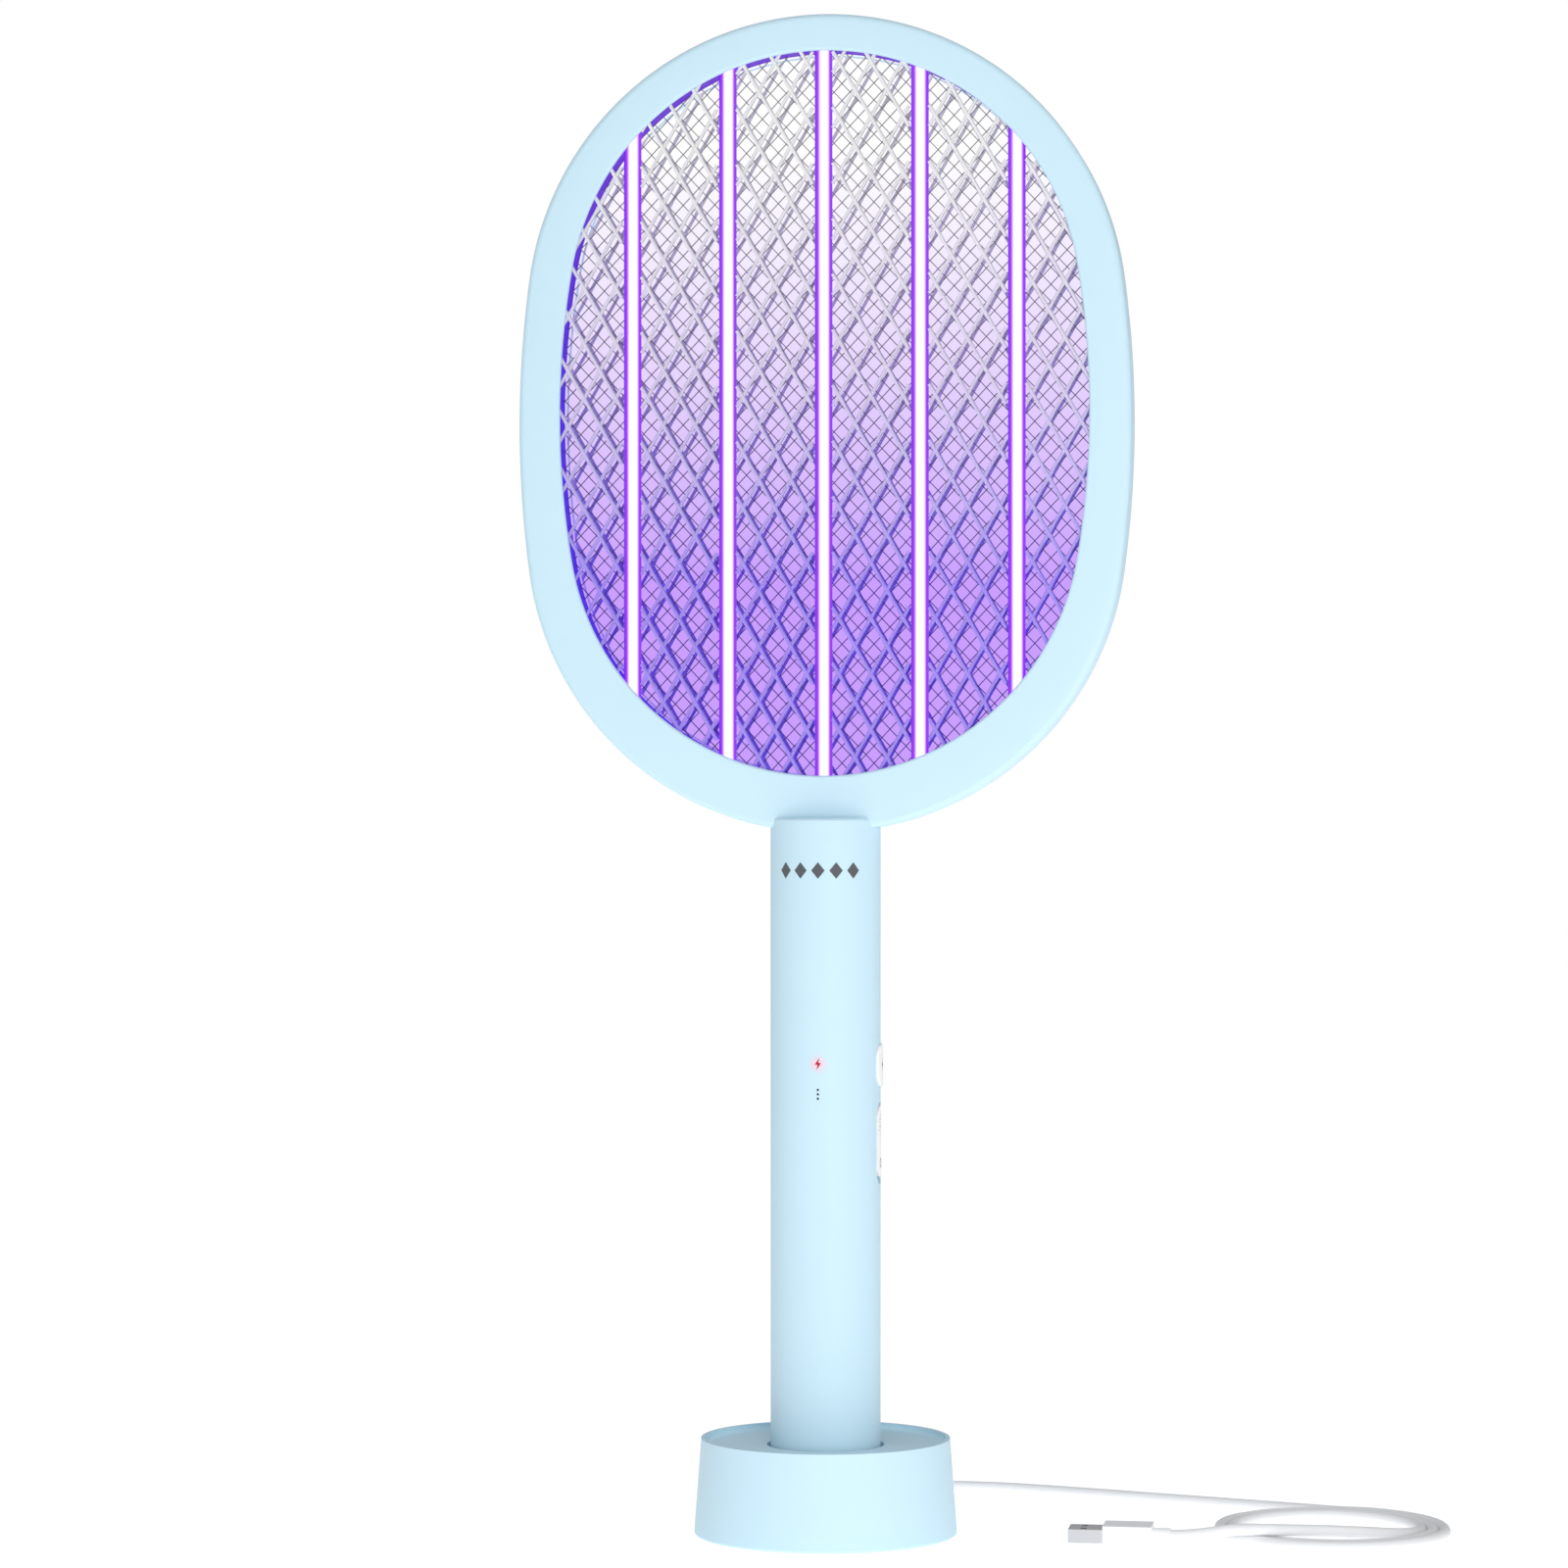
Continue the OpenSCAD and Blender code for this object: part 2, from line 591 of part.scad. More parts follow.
module dock_weight() color("#707478") difference() {
    translate([0, 0, 3.3]) cylinder(r = 31, h = 5.2);
    cylinder(r = cup_r + cup_wall + 0.6, h = 20);
}

module charge_board() color("#2F7A4A") translate([-13, 24, 10.4]) cube([26, 15.4, 1.6]);

module usb_socket() color("#C8CACE") translate([0, 34.6, usb_z]) rotate([-90, 0, 0]) rotate(90) {
    difference() {
        linear_extrude(7.4) pill(8.94, 3.2);
        translate([0, 0, 0.6]) linear_extrude(8) pill(8.4, 2.6);
    }
    translate([-0.35, -3.3, 0]) cube([0.7, 6.6, 5.6]);
}

module pin_board() color("#2F7A4A") translate([0, 0, 4.2]) cylinder(r = 17, h = 1.6);

module pin_sleeves() color("#D9B45A") for (s = [-1, 1]) translate([s * pin_x, 0, 5.8]) difference() {
    cylinder(r = 1.5, h = 2.4);
    translate([0, 0, 0.1]) cylinder(r = pin_r + gap, h = 5);
}

module charge_pin(s) color("#D9B45A") translate([s * pin_x, 0, 7]) cylinder(r = pin_r, h = foot_z - 7.05);

// ---- charging lead ----------------------------------------------------------------------

lead_sides = 10;
function unit(v) = v / norm(v);
function heading(p, i) = unit(p[min(i + 1, len(p) - 1)] - p[max(i - 1, 0)]);
function ring_at(p, i) = let (d = heading(p, i), a = unit(cross(d, [0, 0, 1])), b = cross(a, d))
    [for (k = [0:lead_sides - 1]) p[i] + lead_r * (a * cos(360 * k / lead_sides) + b * sin(360 * k / lead_sides))];

// A round lead that follows a list of points
module lead_along(p) {
    n = lead_sides;
    polyhedron(
        points = [for (i = [0:len(p) - 1]) each ring_at(p, i)],
        faces = concat(
            [[for (k = [0:n - 1]) k]],
            [for (i = [0:len(p) - 2], k = [0:n - 1])
                [i * n + k, (i + 1) * n + k, (i + 1) * n + (k + 1) % n, i * n + (k + 1) % n]],
            [[for (k = [n - 1:-1:0]) (len(p) - 1) * n + k]]));
}

module lead_run() color("#FAFAFA") lead_along(lead_route);

module lead_tail() color("#FAFAFA") lead_along(tail_route);

module lead_coil() color("#FAFAFA") translate([coil_x, coil_y, 0])
    rotate_extrude() span(coil_inner_r - lead_r, coil_r + lead_r + 0.1, 0.05, 2 * lead_r + 0.15);

module usb_c_plug() color("#D0D2D6") translate([0, 36.6, usb_z]) rotate([-90, 0, 0]) rotate(90) difference() {
    linear_extrude(7.6) pill(8.3, 2.4);
    translate([0, 0, -1]) linear_extrude(6.8) pill(7.6, 1.7);
}

module usb_c_sleeve() color("#FAFAFA") translate([0, 44.2, usb_z]) rotate([-90, 0, 0]) rotate(90) {
    linear_extrude(15.5) pill(10, 5.4);
    translate([0, 0, 15.5]) cylinder(r = boot_r, h = lead_route[0][1] - 59.7);
}

// The other plug lies on the table and points away from the coil, towards the dock
module usb_a_place() translate([usb_a_at[0], usb_a_at[1], 3.65]) rotate([0, -90, 0]) children();

module usb_a_sleeve() color("#FAFAFA") usb_a_place() {
    cylinder(r = boot_r, h = boot_len);
    translate([-3.6, -6.75, boot_len]) cube([7.2, 13.5, 16.4]);
}

module usb_a_plug() color("#D0D2D6") usb_a_place() translate([0, 0, boot_len + 16.4]) difference() {
    translate([-2.25, -6, 0]) cube([4.5, 12, 11.7]);
    translate([-1.95, -5.7, 1]) cube([3.9, 11.4, 20]);
    for (s = [-1, 1]) translate([0, s * 2.9 - 1.2, 5.6]) cube([5, 2.4, 2]);
}

module usb_a_tongue() color("#F0F0F2") usb_a_place() translate([-1.9, -5.6, boot_len + 17.45]) cube([1.8, 11.2, 9.6]);

// ---- nodes ------------------------------------------------------------------------------

dock_shell();
socket_cup();
dock_base_plate();
dock_feet();
dock_screws();
dock_weight();
charge_board();
usb_socket();
pin_board();
pin_sleeves();
charge_pin(-1);  // charge_pin_left
charge_pin(1);  // charge_pin_right
head_front_shell();
head_rear_shell();
light_guide_front();
light_guide_rear();
front_guard_net();
live_net();
rear_guard_net();
for (i = [1:5]) lamp(i);
lamp_leds();
lamp_boards();
head_screws();
neck_bracket();
net_leads();
handle_front_shell();
handle_rear_shell();
handle_screws();
handle_end_cap();
charge_pads();
bolt_window();
level_windows();
sign_board();
sign_leds();
circuit_board();
transformer();
capacitor();
diodes();
tact_switch();
slide_switch();
slider_track();
battery_cell();
battery_bulkheads();
battery_tabs();
battery_leads();
trigger_button();
power_slider();
lead_run();
lead_coil();
lead_tail();
usb_c_plug();
usb_c_sleeve();
usb_a_plug();
usb_a_sleeve();
usb_a_tongue();
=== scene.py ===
# %% [markdown]
# # An electric fly swatter standing in its charging dock
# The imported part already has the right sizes, bodies and joints. This script keeps it as a fixed
# frame and gives each piece the look of the real thing: satin pale blue mouldings, nets of drawn
# metal, five bright violet lamps and a white charging lead. All lengths are in metres, and X is to
# the right, Y to the back and Z up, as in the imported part.

import json
import math

import bmesh
import bpy
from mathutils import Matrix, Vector


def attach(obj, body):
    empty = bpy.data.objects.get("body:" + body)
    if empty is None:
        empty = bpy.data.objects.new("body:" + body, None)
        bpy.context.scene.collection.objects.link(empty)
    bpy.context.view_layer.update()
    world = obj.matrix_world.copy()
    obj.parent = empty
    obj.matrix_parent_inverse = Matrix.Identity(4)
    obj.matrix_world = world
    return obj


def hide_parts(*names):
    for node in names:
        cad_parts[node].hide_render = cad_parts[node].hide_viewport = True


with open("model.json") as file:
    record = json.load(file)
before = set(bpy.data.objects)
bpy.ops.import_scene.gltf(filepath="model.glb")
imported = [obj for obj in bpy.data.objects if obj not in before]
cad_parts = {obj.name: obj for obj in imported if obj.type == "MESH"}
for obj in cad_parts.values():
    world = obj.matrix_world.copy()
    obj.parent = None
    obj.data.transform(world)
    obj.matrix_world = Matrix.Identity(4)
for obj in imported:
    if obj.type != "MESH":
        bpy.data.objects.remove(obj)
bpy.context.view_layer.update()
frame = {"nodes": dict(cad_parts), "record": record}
nodes = frame["nodes"]
print("pieces of the packed part:", len(nodes))


# %% [markdown]
# ## The camera
# The swatter is seen almost straight on, from a little to its right and from the height of its
# neck, with a long lens, so the ring hardly narrows towards the top. A target object with a
# tracking constraint would also do, but a plain place and turn is easier to read and to move.

# %% Place the camera
view_turn = math.radians(8.5)
camera_distance = 1.61
camera_height = 0.2564
camera_step = 0.0142

camera_data = bpy.data.cameras.new("camera")
camera_data.lens = 108.3
camera_data.sensor_width = 36.0
camera = bpy.data.objects.new("camera", camera_data)
camera.location = (
    camera_distance * math.sin(view_turn) - camera_step * math.cos(view_turn),
    -camera_distance * math.cos(view_turn) - camera_step * math.sin(view_turn),
    camera_height,
)
camera.rotation_euler = (math.radians(90), 0, view_turn)
bpy.context.scene.collection.objects.link(camera)
bpy.context.scene.camera = camera
print("camera at", [round(v, 3) for v in camera.location])


# %% [markdown]
# ## Colours and materials
# Colours are easiest to name as a screen shows them, from 0 to 255, but the shader wants linear
# light, so one small function converts them. A second one makes an empty finish: a material with
# one Principled shader, whose steady numbers are set straight on the shader.

# %% Helpers for colours and finishes
def screen_colour(red, green, blue):
    """A colour as a screen shows it, turned into linear light."""
    linear = []
    for value in (red, green, blue):
        value = value / 255
        linear.append(value / 12.92 if value <= 0.04045 else ((value + 0.055) / 1.055) ** 2.4)
    return (*linear, 1.0)


def new_finish(name, roughness=0.5, metallic=0.0, coat=0.0, specular=0.5):
    """A material with one Principled shader and these steady values."""
    finish = bpy.data.materials.new(name)
    finish.use_nodes = True
    shader = finish.node_tree.nodes["Principled BSDF"]
    shader.inputs["Roughness"].default_value = roughness
    shader.inputs["Metallic"].default_value = metallic
    shader.inputs["Coat Weight"].default_value = coat
    shader.inputs["Specular IOR Level"].default_value = specular
    return finish, shader


def add_node(tree, kind, **inputs):
    """A new shader node with some of its inputs set."""
    node = tree.nodes.new(kind)
    for name, value in inputs.items():
        node.inputs[name.replace("_", " ")].default_value = value
    return node


print("middle grey in linear light:", round(screen_colour(128, 128, 128)[0], 3))


# %% [markdown]
# ## Shared effects as node groups
# Some effects turn up in many finishes, so each is built once as a node group with named inputs.
# The first is the skin of a moulding: a faint cloudy change of shade and a fine spark-eroded grain.
# The second follows from the lamps, which light the nets and the inside of the head: everything in
# there gets more violet from the top of the head to its bottom. Copying the same nodes into every
# material would work too, but then each change has to be made many times.

# %% A small factory for node groups
def new_group(name, inputs, outputs):
    """An empty node group with named sockets; inputs are (name, kind, default)."""
    group = bpy.data.node_groups.new(name, "ShaderNodeTree")
    for socket_name, kind, default in inputs:
        socket = group.interface.new_socket(socket_name, in_out="INPUT", socket_type=kind)
        socket.default_value = default
    for socket_name, kind in outputs:
        group.interface.new_socket(socket_name, in_out="OUTPUT", socket_type=kind)
    entry = group.nodes.new("NodeGroupInput")
    exit_node = group.nodes.new("NodeGroupOutput")
    return group, entry, exit_node


def place_group(finish, group, **values):
    """Puts a node group into a material and sets its inputs."""
    node = finish.node_tree.nodes.new("ShaderNodeGroup")
    node.node_tree = group
    for name, value in values.items():
        node.inputs[name.replace("_", " ")].default_value = value
    return node


def add_colour_mix(tree):
    """A node that mixes two colours; returns its factor, first, second and result sockets."""
    node = tree.nodes.new("ShaderNodeMix")
    node.data_type = "RGBA"
    return node.inputs[0], node.inputs[6], node.inputs[7], node.outputs[2]


def surface_axis(tree, kind, axis):
    """One axis of a surface's own place (Object) or of its own direction (Normal)."""
    surface = tree.nodes.new("ShaderNodeTexCoord")
    split = tree.nodes.new("ShaderNodeSeparateXYZ")
    tree.links.new(surface.outputs[kind], split.inputs[0])
    return split.outputs[axis]


FLOAT = "NodeSocketFloat"
COLOUR = "NodeSocketColor"
print("kinds of socket:", FLOAT, COLOUR)


# %% The skin of a moulding
def build_moulded_skin():
    """Colour with faint clouds, a roughness that follows them, and the height of a fine grain."""
    group, entry, exit_node = new_group(
        "moulded_skin",
        [
            ("Base", COLOUR, (0.5, 0.5, 0.5, 1)),
            ("Shade change", FLOAT, 0.02),
            ("Gloss change", FLOAT, 0.05),
            ("Roughness", FLOAT, 0.4),
            ("Grain size", FLOAT, 2500.0),
        ],
        [("Colour", COLOUR), ("Roughness", FLOAT), ("Height", FLOAT)],
    )
    place = group.nodes.new("ShaderNodeTexCoord")
    clouds = add_node(group, "ShaderNodeTexNoise", Scale=28.0, Detail=2.0)
    grain = add_node(group, "ShaderNodeTexNoise", Detail=1.5)
    centred = group.nodes.new("ShaderNodeMath")
    centred.operation = "SUBTRACT"
    centred.inputs[1].default_value = 0.5
    shade = group.nodes.new("ShaderNodeMath")
    shade.operation = "MULTIPLY_ADD"
    shade.inputs[2].default_value = 1.0
    tinted = group.nodes.new("ShaderNodeVectorMath")
    tinted.operation = "SCALE"
    gloss = group.nodes.new("ShaderNodeMath")
    gloss.operation = "MULTIPLY_ADD"
    link = group.links.new
    link(place.outputs["Object"], clouds.inputs["Vector"])
    link(place.outputs["Object"], grain.inputs["Vector"])
    link(entry.outputs["Grain size"], grain.inputs["Scale"])
    link(clouds.outputs["Fac"], centred.inputs[0])
    link(centred.outputs[0], shade.inputs[0])
    link(entry.outputs["Shade change"], shade.inputs[1])
    link(entry.outputs["Base"], tinted.inputs[0])
    link(shade.outputs[0], tinted.inputs["Scale"])
    link(centred.outputs[0], gloss.inputs[0])
    link(entry.outputs["Gloss change"], gloss.inputs[1])
    link(entry.outputs["Roughness"], gloss.inputs[2])
    link(tinted.outputs[0], exit_node.inputs["Colour"])
    link(gloss.outputs[0], exit_node.inputs["Roughness"])
    link(grain.outputs["Fac"], exit_node.inputs["Height"])
    return group


moulded_skin = build_moulded_skin()
print("group:", moulded_skin.name)


# %% Colour that falls from the top of the net to its bottom
fall_top = 0.474
fall_middle = 0.395
fall_low = 0.325


def build_violet_fall():
    """Blends three colours by height on the head: top, middle and low."""
    group, entry, exit_node = new_group(
        "violet_fall",
        [
            ("Top", COLOUR, (1, 1, 1, 1)),
            ("Middle", COLOUR, (0.7, 0.6, 1, 1)),
            ("Low", COLOUR, (0.5, 0.3, 1, 1)),
        ],
        [("Colour", COLOUR)],
    )
    height = surface_axis(group, "Object", "Z")
    upper = add_node(group, "ShaderNodeMapRange", From_Min=fall_top, From_Max=fall_middle)
    lower = add_node(group, "ShaderNodeMapRange", From_Min=fall_middle, From_Max=fall_low)
    upper_share, top_colour, middle_colour, upper_blend = add_colour_mix(group)
    lower_share, blend_so_far, low_colour, whole_blend = add_colour_mix(group)
    link = group.links.new
    link(height, upper.inputs["Value"])
    link(height, lower.inputs["Value"])
    link(upper.outputs[0], upper_share)
    link(entry.outputs["Top"], top_colour)
    link(entry.outputs["Middle"], middle_colour)
    link(lower.outputs[0], lower_share)
    link(upper_blend, blend_so_far)
    link(entry.outputs["Low"], low_colour)
    link(whole_blend, exit_node.inputs["Colour"])
    return group


violet_fall = build_violet_fall()
print("group:", violet_fall.name)


# %% [markdown]
# ## Finishes of the mouldings, metals and small parts
# Satin plastic is a plain dielectric: one base colour, roughness around a half, and a very small
# bump from the grain. The same recipe with other numbers makes the white lead, the rubber feet and
# the circuit boards. Metal parts only change the metallic value and get a coarser change of gloss.

# %% A finish with the moulded skin
def wear_skin(finish, shader, skin, strength, depth):
    """Gives a shader the skin's colour and roughness, and a bump from its height."""
    tree = finish.node_tree
    bump = add_node(tree, "ShaderNodeBump", Strength=strength, Distance=depth)
    tree.links.new(skin.outputs["Colour"], shader.inputs["Base Color"])
    tree.links.new(skin.outputs["Roughness"], shader.inputs["Roughness"])
    tree.links.new(skin.outputs["Height"], bump.inputs["Height"])
    tree.links.new(bump.outputs["Normal"], shader.inputs["Normal"])


def skin_finish(name, colour, roughness, metallic=0.0, coat=0.0, change=0.02, gloss_change=0.06,
                grain_size=2500.0, grain_depth=0.00002, specular=0.5):
    """A finish whose colour, roughness and bump come from the moulded skin."""
    finish, shader = new_finish(name, roughness, metallic, coat, specular)
    skin = place_group(finish, moulded_skin, Base=screen_colour(*colour), Shade_change=change,
                       Gloss_change=gloss_change, Roughness=roughness, Grain_size=grain_size)
    wear_skin(finish, shader, skin, 0.5, grain_depth)
    return finish


BODY_BLUE = (203, 233, 247)
print("colour of the mouldings:", BODY_BLUE)


# %% Finishes by the record's material slots
finishes = {
    "blue_plastic": skin_finish("satin_blue", BODY_BLUE, 0.48, specular=0.42),
    "inner_plastic": skin_finish("inner_grey_blue", (196, 214, 224), 0.55),
    "white_plastic": skin_finish("satin_white", (250, 251, 253), 0.4, change=0.01),
    "screw_steel": skin_finish("screw_zinc", (190, 192, 198), 0.34, metallic=1.0, change=0.1),
    "bright_steel": skin_finish("plug_nickel", (206, 208, 212), 0.24, metallic=1.0, change=0.06,
                                grain_size=900.0),
    "gold_brass": skin_finish("contact_gold", (222, 184, 96), 0.28, metallic=1.0, change=0.08),
    "led_plastic": skin_finish("led_cream", (236, 230, 188), 0.3, coat=0.3),
    "board_green": skin_finish("board_green", (42, 112, 70), 0.42, coat=0.4, change=0.12),
    "ballast_iron": skin_finish("cast_iron", (96, 100, 106), 0.7, metallic=0.6, change=0.25,
                                grain_size=1400.0, grain_depth=0.00012),
    "rubber": skin_finish("foot_rubber", (70, 74, 80), 0.85, change=0.1, grain_depth=0.00006),
    "wire_red": skin_finish("wire_sleeve", (186, 44, 44), 0.5),
    "coil_yellow": skin_finish("winding_tape", (222, 190, 92), 0.5, change=0.12),
    "capacitor_red": skin_finish("capacitor_lacquer", (176, 70, 44), 0.32, coat=0.4),
    "battery_wrap": skin_finish("battery_sleeve", (58, 112, 196), 0.35, coat=0.3),
    "lead_white": skin_finish("lead_white", (244, 245, 247), 0.5, change=0.012),
}
print("plain finishes:", len(finishes))


# %% [markdown]
# ## Finishes that the lamps colour
# The nets are bare metal, and the violet light of the lamps on them is painted into their colour:
# near white at the top of the head and lavender at its bottom. Each strand of a guard net is a
# twisted bar, and its light face and darker right edge are painted shade: a group reads the face's
# own direction and colours faces that turn to the right darker, so it stays the same from all sides.
# A single strong light from the left would do the same, but it would spoil the even studio light.

# %% Painted light on the faces and painted shade on the edges of a twisted strand
def build_strand_painted_shade():
    """Paints shade: mixes a light and a darker colour by how far a face turns to the right."""
    group, entry, exit_node = new_group(
        "strand_painted_shade",
        [("Light face", COLOUR, (1, 1, 1, 1)), ("Dark edge", COLOUR, (0.2, 0.2, 0.2, 1))],
        [("Colour", COLOUR)],
    )
    # Painted shade: faces that turn to the right take the darker colour, whatever the lights do.
    turn = add_node(group, "ShaderNodeMapRange", From_Min=-0.05, From_Max=0.55)
    share, light, dark, blend = add_colour_mix(group)
    group.links.new(surface_axis(group, "Normal", "X"), turn.inputs["Value"])
    group.links.new(turn.outputs[0], share)
    group.links.new(entry.outputs["Light face"], light)
    group.links.new(entry.outputs["Dark edge"], dark)
    group.links.new(blend, exit_node.inputs["Colour"])
    return group


strand_painted_shade = build_strand_painted_shade()
print("group:", strand_painted_shade.name)


# %% Finishes of the nets
def fall_colours(finish, top, middle, low):
    """A violet fall in a finish, with its three colours as a screen shows them."""
    return place_group(finish, violet_fall, Top=screen_colour(*top),
                       Middle=screen_colour(*middle), Low=screen_colour(*low))


def strand_finish(name, light, dark):
    """Metal of a guard net: light and dark are three colours each, from the top down; the dark ones
    are painted shade on edges that turn right, and the violet fall is painted lamp light.
    """
    finish, shader = new_finish(name, 0.42, metallic=0.1)
    tree = finish.node_tree
    light_fall = fall_colours(finish, *light)
    dark_fall = fall_colours(finish, *dark)
    tone = place_group(finish, strand_painted_shade)
    skin = place_group(finish, moulded_skin, Shade_change=0.12, Gloss_change=0.2,
                       Roughness=0.42, Grain_size=1200.0)
    tree.links.new(light_fall.outputs["Colour"], tone.inputs["Light face"])
    tree.links.new(dark_fall.outputs["Colour"], tone.inputs["Dark edge"])
    tree.links.new(tone.outputs["Colour"], skin.inputs["Base"])
    wear_skin(finish, shader, skin, 0.4, 0.00005)
    return finish


front_strands = strand_finish(
    "front_net_metal",
    [(238, 238, 239), (218, 209, 234), (164, 141, 238)],
    [(180, 180, 184), (166, 158, 190), (118, 98, 210)],
)
# The rear net's copy of the same metal is a little darker on its light faces: painted shade for the
# net that stands behind.
rear_strands_shaded = strand_finish(
    "rear_net_metal_shaded",
    [(222, 222, 222), (196, 196, 220), (158, 158, 234)],
    [(200, 200, 202), (176, 176, 206), (136, 134, 222)],
)


def wire_finish():
    """Fine wire of the live net: drawn steel, darker and more violet further down."""
    finish, shader = new_finish("live_wire", 0.4, metallic=0.4)
    fall = fall_colours(finish, (140, 140, 140), (104, 94, 120), (66, 40, 140))
    skin = place_group(finish, moulded_skin, Shade_change=0.15, Gloss_change=0.2, Roughness=0.4)
    finish.node_tree.links.new(fall.outputs["Colour"], skin.inputs["Base"])
    finish.node_tree.links.new(skin.outputs["Colour"], shader.inputs["Base Color"])
    finish.node_tree.links.new(skin.outputs["Roughness"], shader.inputs["Roughness"])
    return finish


finishes["net_steel"] = front_strands
finishes["net_wire"] = wire_finish()
print("net finishes:", front_strands.name, rear_strands_shaded.name)


# %% [markdown]
# ## Things that give light
# A lamp is a coated glass tube. Looked at square on it is burnt-out white, and towards its rim,
# where the line of sight crosses more of the coating, it turns saturated violet. A Layer Weight
# node gives just that, and a share of the face's own direction moves the white core a little to the
# right. The light guides are strips of clear violet plastic round the inside of the head, and glow
# blue-violet. The rear one glows violet only beside the live net; further back it glows pale white,
# which is painted light.

# %% The lamps
lamp_glow = [(0.07, (255, 253, 255)), (0.14, (234, 196, 255)),
             (0.25, (160, 66, 242)), (0.62, (124, 28, 226))]
core_lean = -0.05


def lamp_finish():
    """White core and violet rim of a lit tube."""
    finish, shader = new_finish("lit_lamp_glass", 0.2, specular=0.3)
    tree = finish.node_tree
    rim = add_node(tree, "ShaderNodeLayerWeight", Blend=0.5)
    lean = tree.nodes.new("ShaderNodeMath")
    lean.operation = "MULTIPLY_ADD"
    lean.inputs[1].default_value = core_lean
    ramp = tree.nodes.new("ShaderNodeValToRGB")
    stops = ramp.color_ramp.elements
    stops[0].position = lamp_glow[0][0]
    stops[1].position = lamp_glow[-1][0]
    for position, _ in lamp_glow[1:-1]:
        stops.new(position)
    for stop, (_, colour) in zip(stops, lamp_glow):
        stop.color = screen_colour(*colour)
    tree.links.new(surface_axis(tree, "Normal", "X"), lean.inputs[0])
    tree.links.new(rim.outputs["Facing"], lean.inputs[2])
    tree.links.new(lean.outputs[0], ramp.inputs["Fac"])
    tree.links.new(ramp.outputs["Color"], shader.inputs["Emission Color"])
    shader.inputs["Emission Strength"].default_value = 1.02
    shader.inputs["Base Color"].default_value = screen_colour(40, 16, 70)
    return finish


finishes["lamp_glass"] = lamp_finish()
print("steps of the lamps' glow:", len(lamp_glow))


# %% Light guides and charge sign
def glow_finish(name, strength, body):
    """Clear plastic lit from inside; the colour of its glow is set afterwards."""
    finish, shader = new_finish(name, 0.5, specular=0.15)
    shader.inputs["Emission Strength"].default_value = strength
    shader.inputs["Base Color"].default_value = screen_colour(*body)
    return finish, shader


def guide_finish(name):
    """The light guide's violet glow, which changes a little from the top down."""
    finish, shader = glow_finish(name, 0.75, (20, 4, 50))
    fall = fall_colours(finish, (104, 22, 222), (80, 12, 244), (74, 12, 244))
    finish.node_tree.links.new(fall.outputs["Colour"], shader.inputs["Emission Color"])
    return finish


pale_glow_start = 0.0026
pale_glow_end = 0.0038
painted_pale_glow = 1.25


def rear_guide_finish():
    """The rear light guide: violet beside the live net, and towards the back a pale white glow that
    is painted light.
    """
    finish = guide_finish("light_guide_rear")
    tree = finish.node_tree
    shader = tree.nodes["Principled BSDF"]
    violet = shader.inputs["Emission Color"].links[0].from_socket
    # Painted light: towards the back the guide's glow turns pale white.
    depth = add_node(tree, "ShaderNodeMapRange", From_Min=pale_glow_start, From_Max=pale_glow_end)
    share, first, second, blend = add_colour_mix(tree)
    second.default_value = (painted_pale_glow, painted_pale_glow, painted_pale_glow, 1)
    tree.links.new(surface_axis(tree, "Object", "Y"), depth.inputs["Value"])
    tree.links.new(depth.outputs[0], share)
    tree.links.new(violet, first)
    tree.links.new(blend, shader.inputs["Emission Color"])
    return finish


finishes["violet_plastic"] = guide_finish("light_guide_violet")
rear_guide_violet = rear_guide_finish()
finishes["sign_red"], sign_shader = glow_finish("charge_sign_red", 0.3, (160, 16, 30))
sign_shader.inputs["Emission Color"].default_value = screen_colour(188, 20, 34)
finishes["sign_dark"] = skin_finish("window_smoke", (26, 28, 32), 0.3)
mark_ink = skin_finish("mark_ink", (84, 88, 92), 0.55)


# %% [markdown]
# ## The glow round the charge sign
# The red sign shines a little through the pale moulding round it. A soft spot is a mask that falls
# from one at a point on the handle to nothing a few millimetres away, and it tints the base colour.
# A real lamp inside a thin translucent wall would look the same, but would render slowly and noisily.

# %% A soft spot on the handle
HANDLE_RADIUS = 0.0188
sign_height = 0.1619
sign_halo = 0.0046


def build_soft_spot():
    """A mask that is one at a height on the handle's front and fades to nothing at a radius."""
    group, entry, exit_node = new_group(
        "soft_spot", [("Height", FLOAT, sign_height), ("Radius", FLOAT, sign_halo)],
        [("Mask", FLOAT)],
    )
    place = group.nodes.new("ShaderNodeTexCoord")
    centre = group.nodes.new("ShaderNodeCombineXYZ")
    centre.inputs["Y"].default_value = -HANDLE_RADIUS
    away = group.nodes.new("ShaderNodeVectorMath")
    away.operation = "DISTANCE"
    share = group.nodes.new("ShaderNodeMath")
    share.operation = "DIVIDE"
    fade = add_node(group, "ShaderNodeMapRange", To_Min=1.0, To_Max=0.0)
    fade.interpolation_type = "SMOOTHERSTEP"
    link = group.links.new
    link(entry.outputs["Height"], centre.inputs["Z"])
    link(place.outputs["Object"], away.inputs[0])
    link(centre.outputs[0], away.inputs[1])
    link(away.outputs["Value"], share.inputs[0])
    link(entry.outputs["Radius"], share.inputs[1])
    link(share.outputs[0], fade.inputs["Value"])
    link(fade.outputs[0], exit_node.inputs["Mask"])
    return group


soft_spot = build_soft_spot()
print("group:", soft_spot.name)


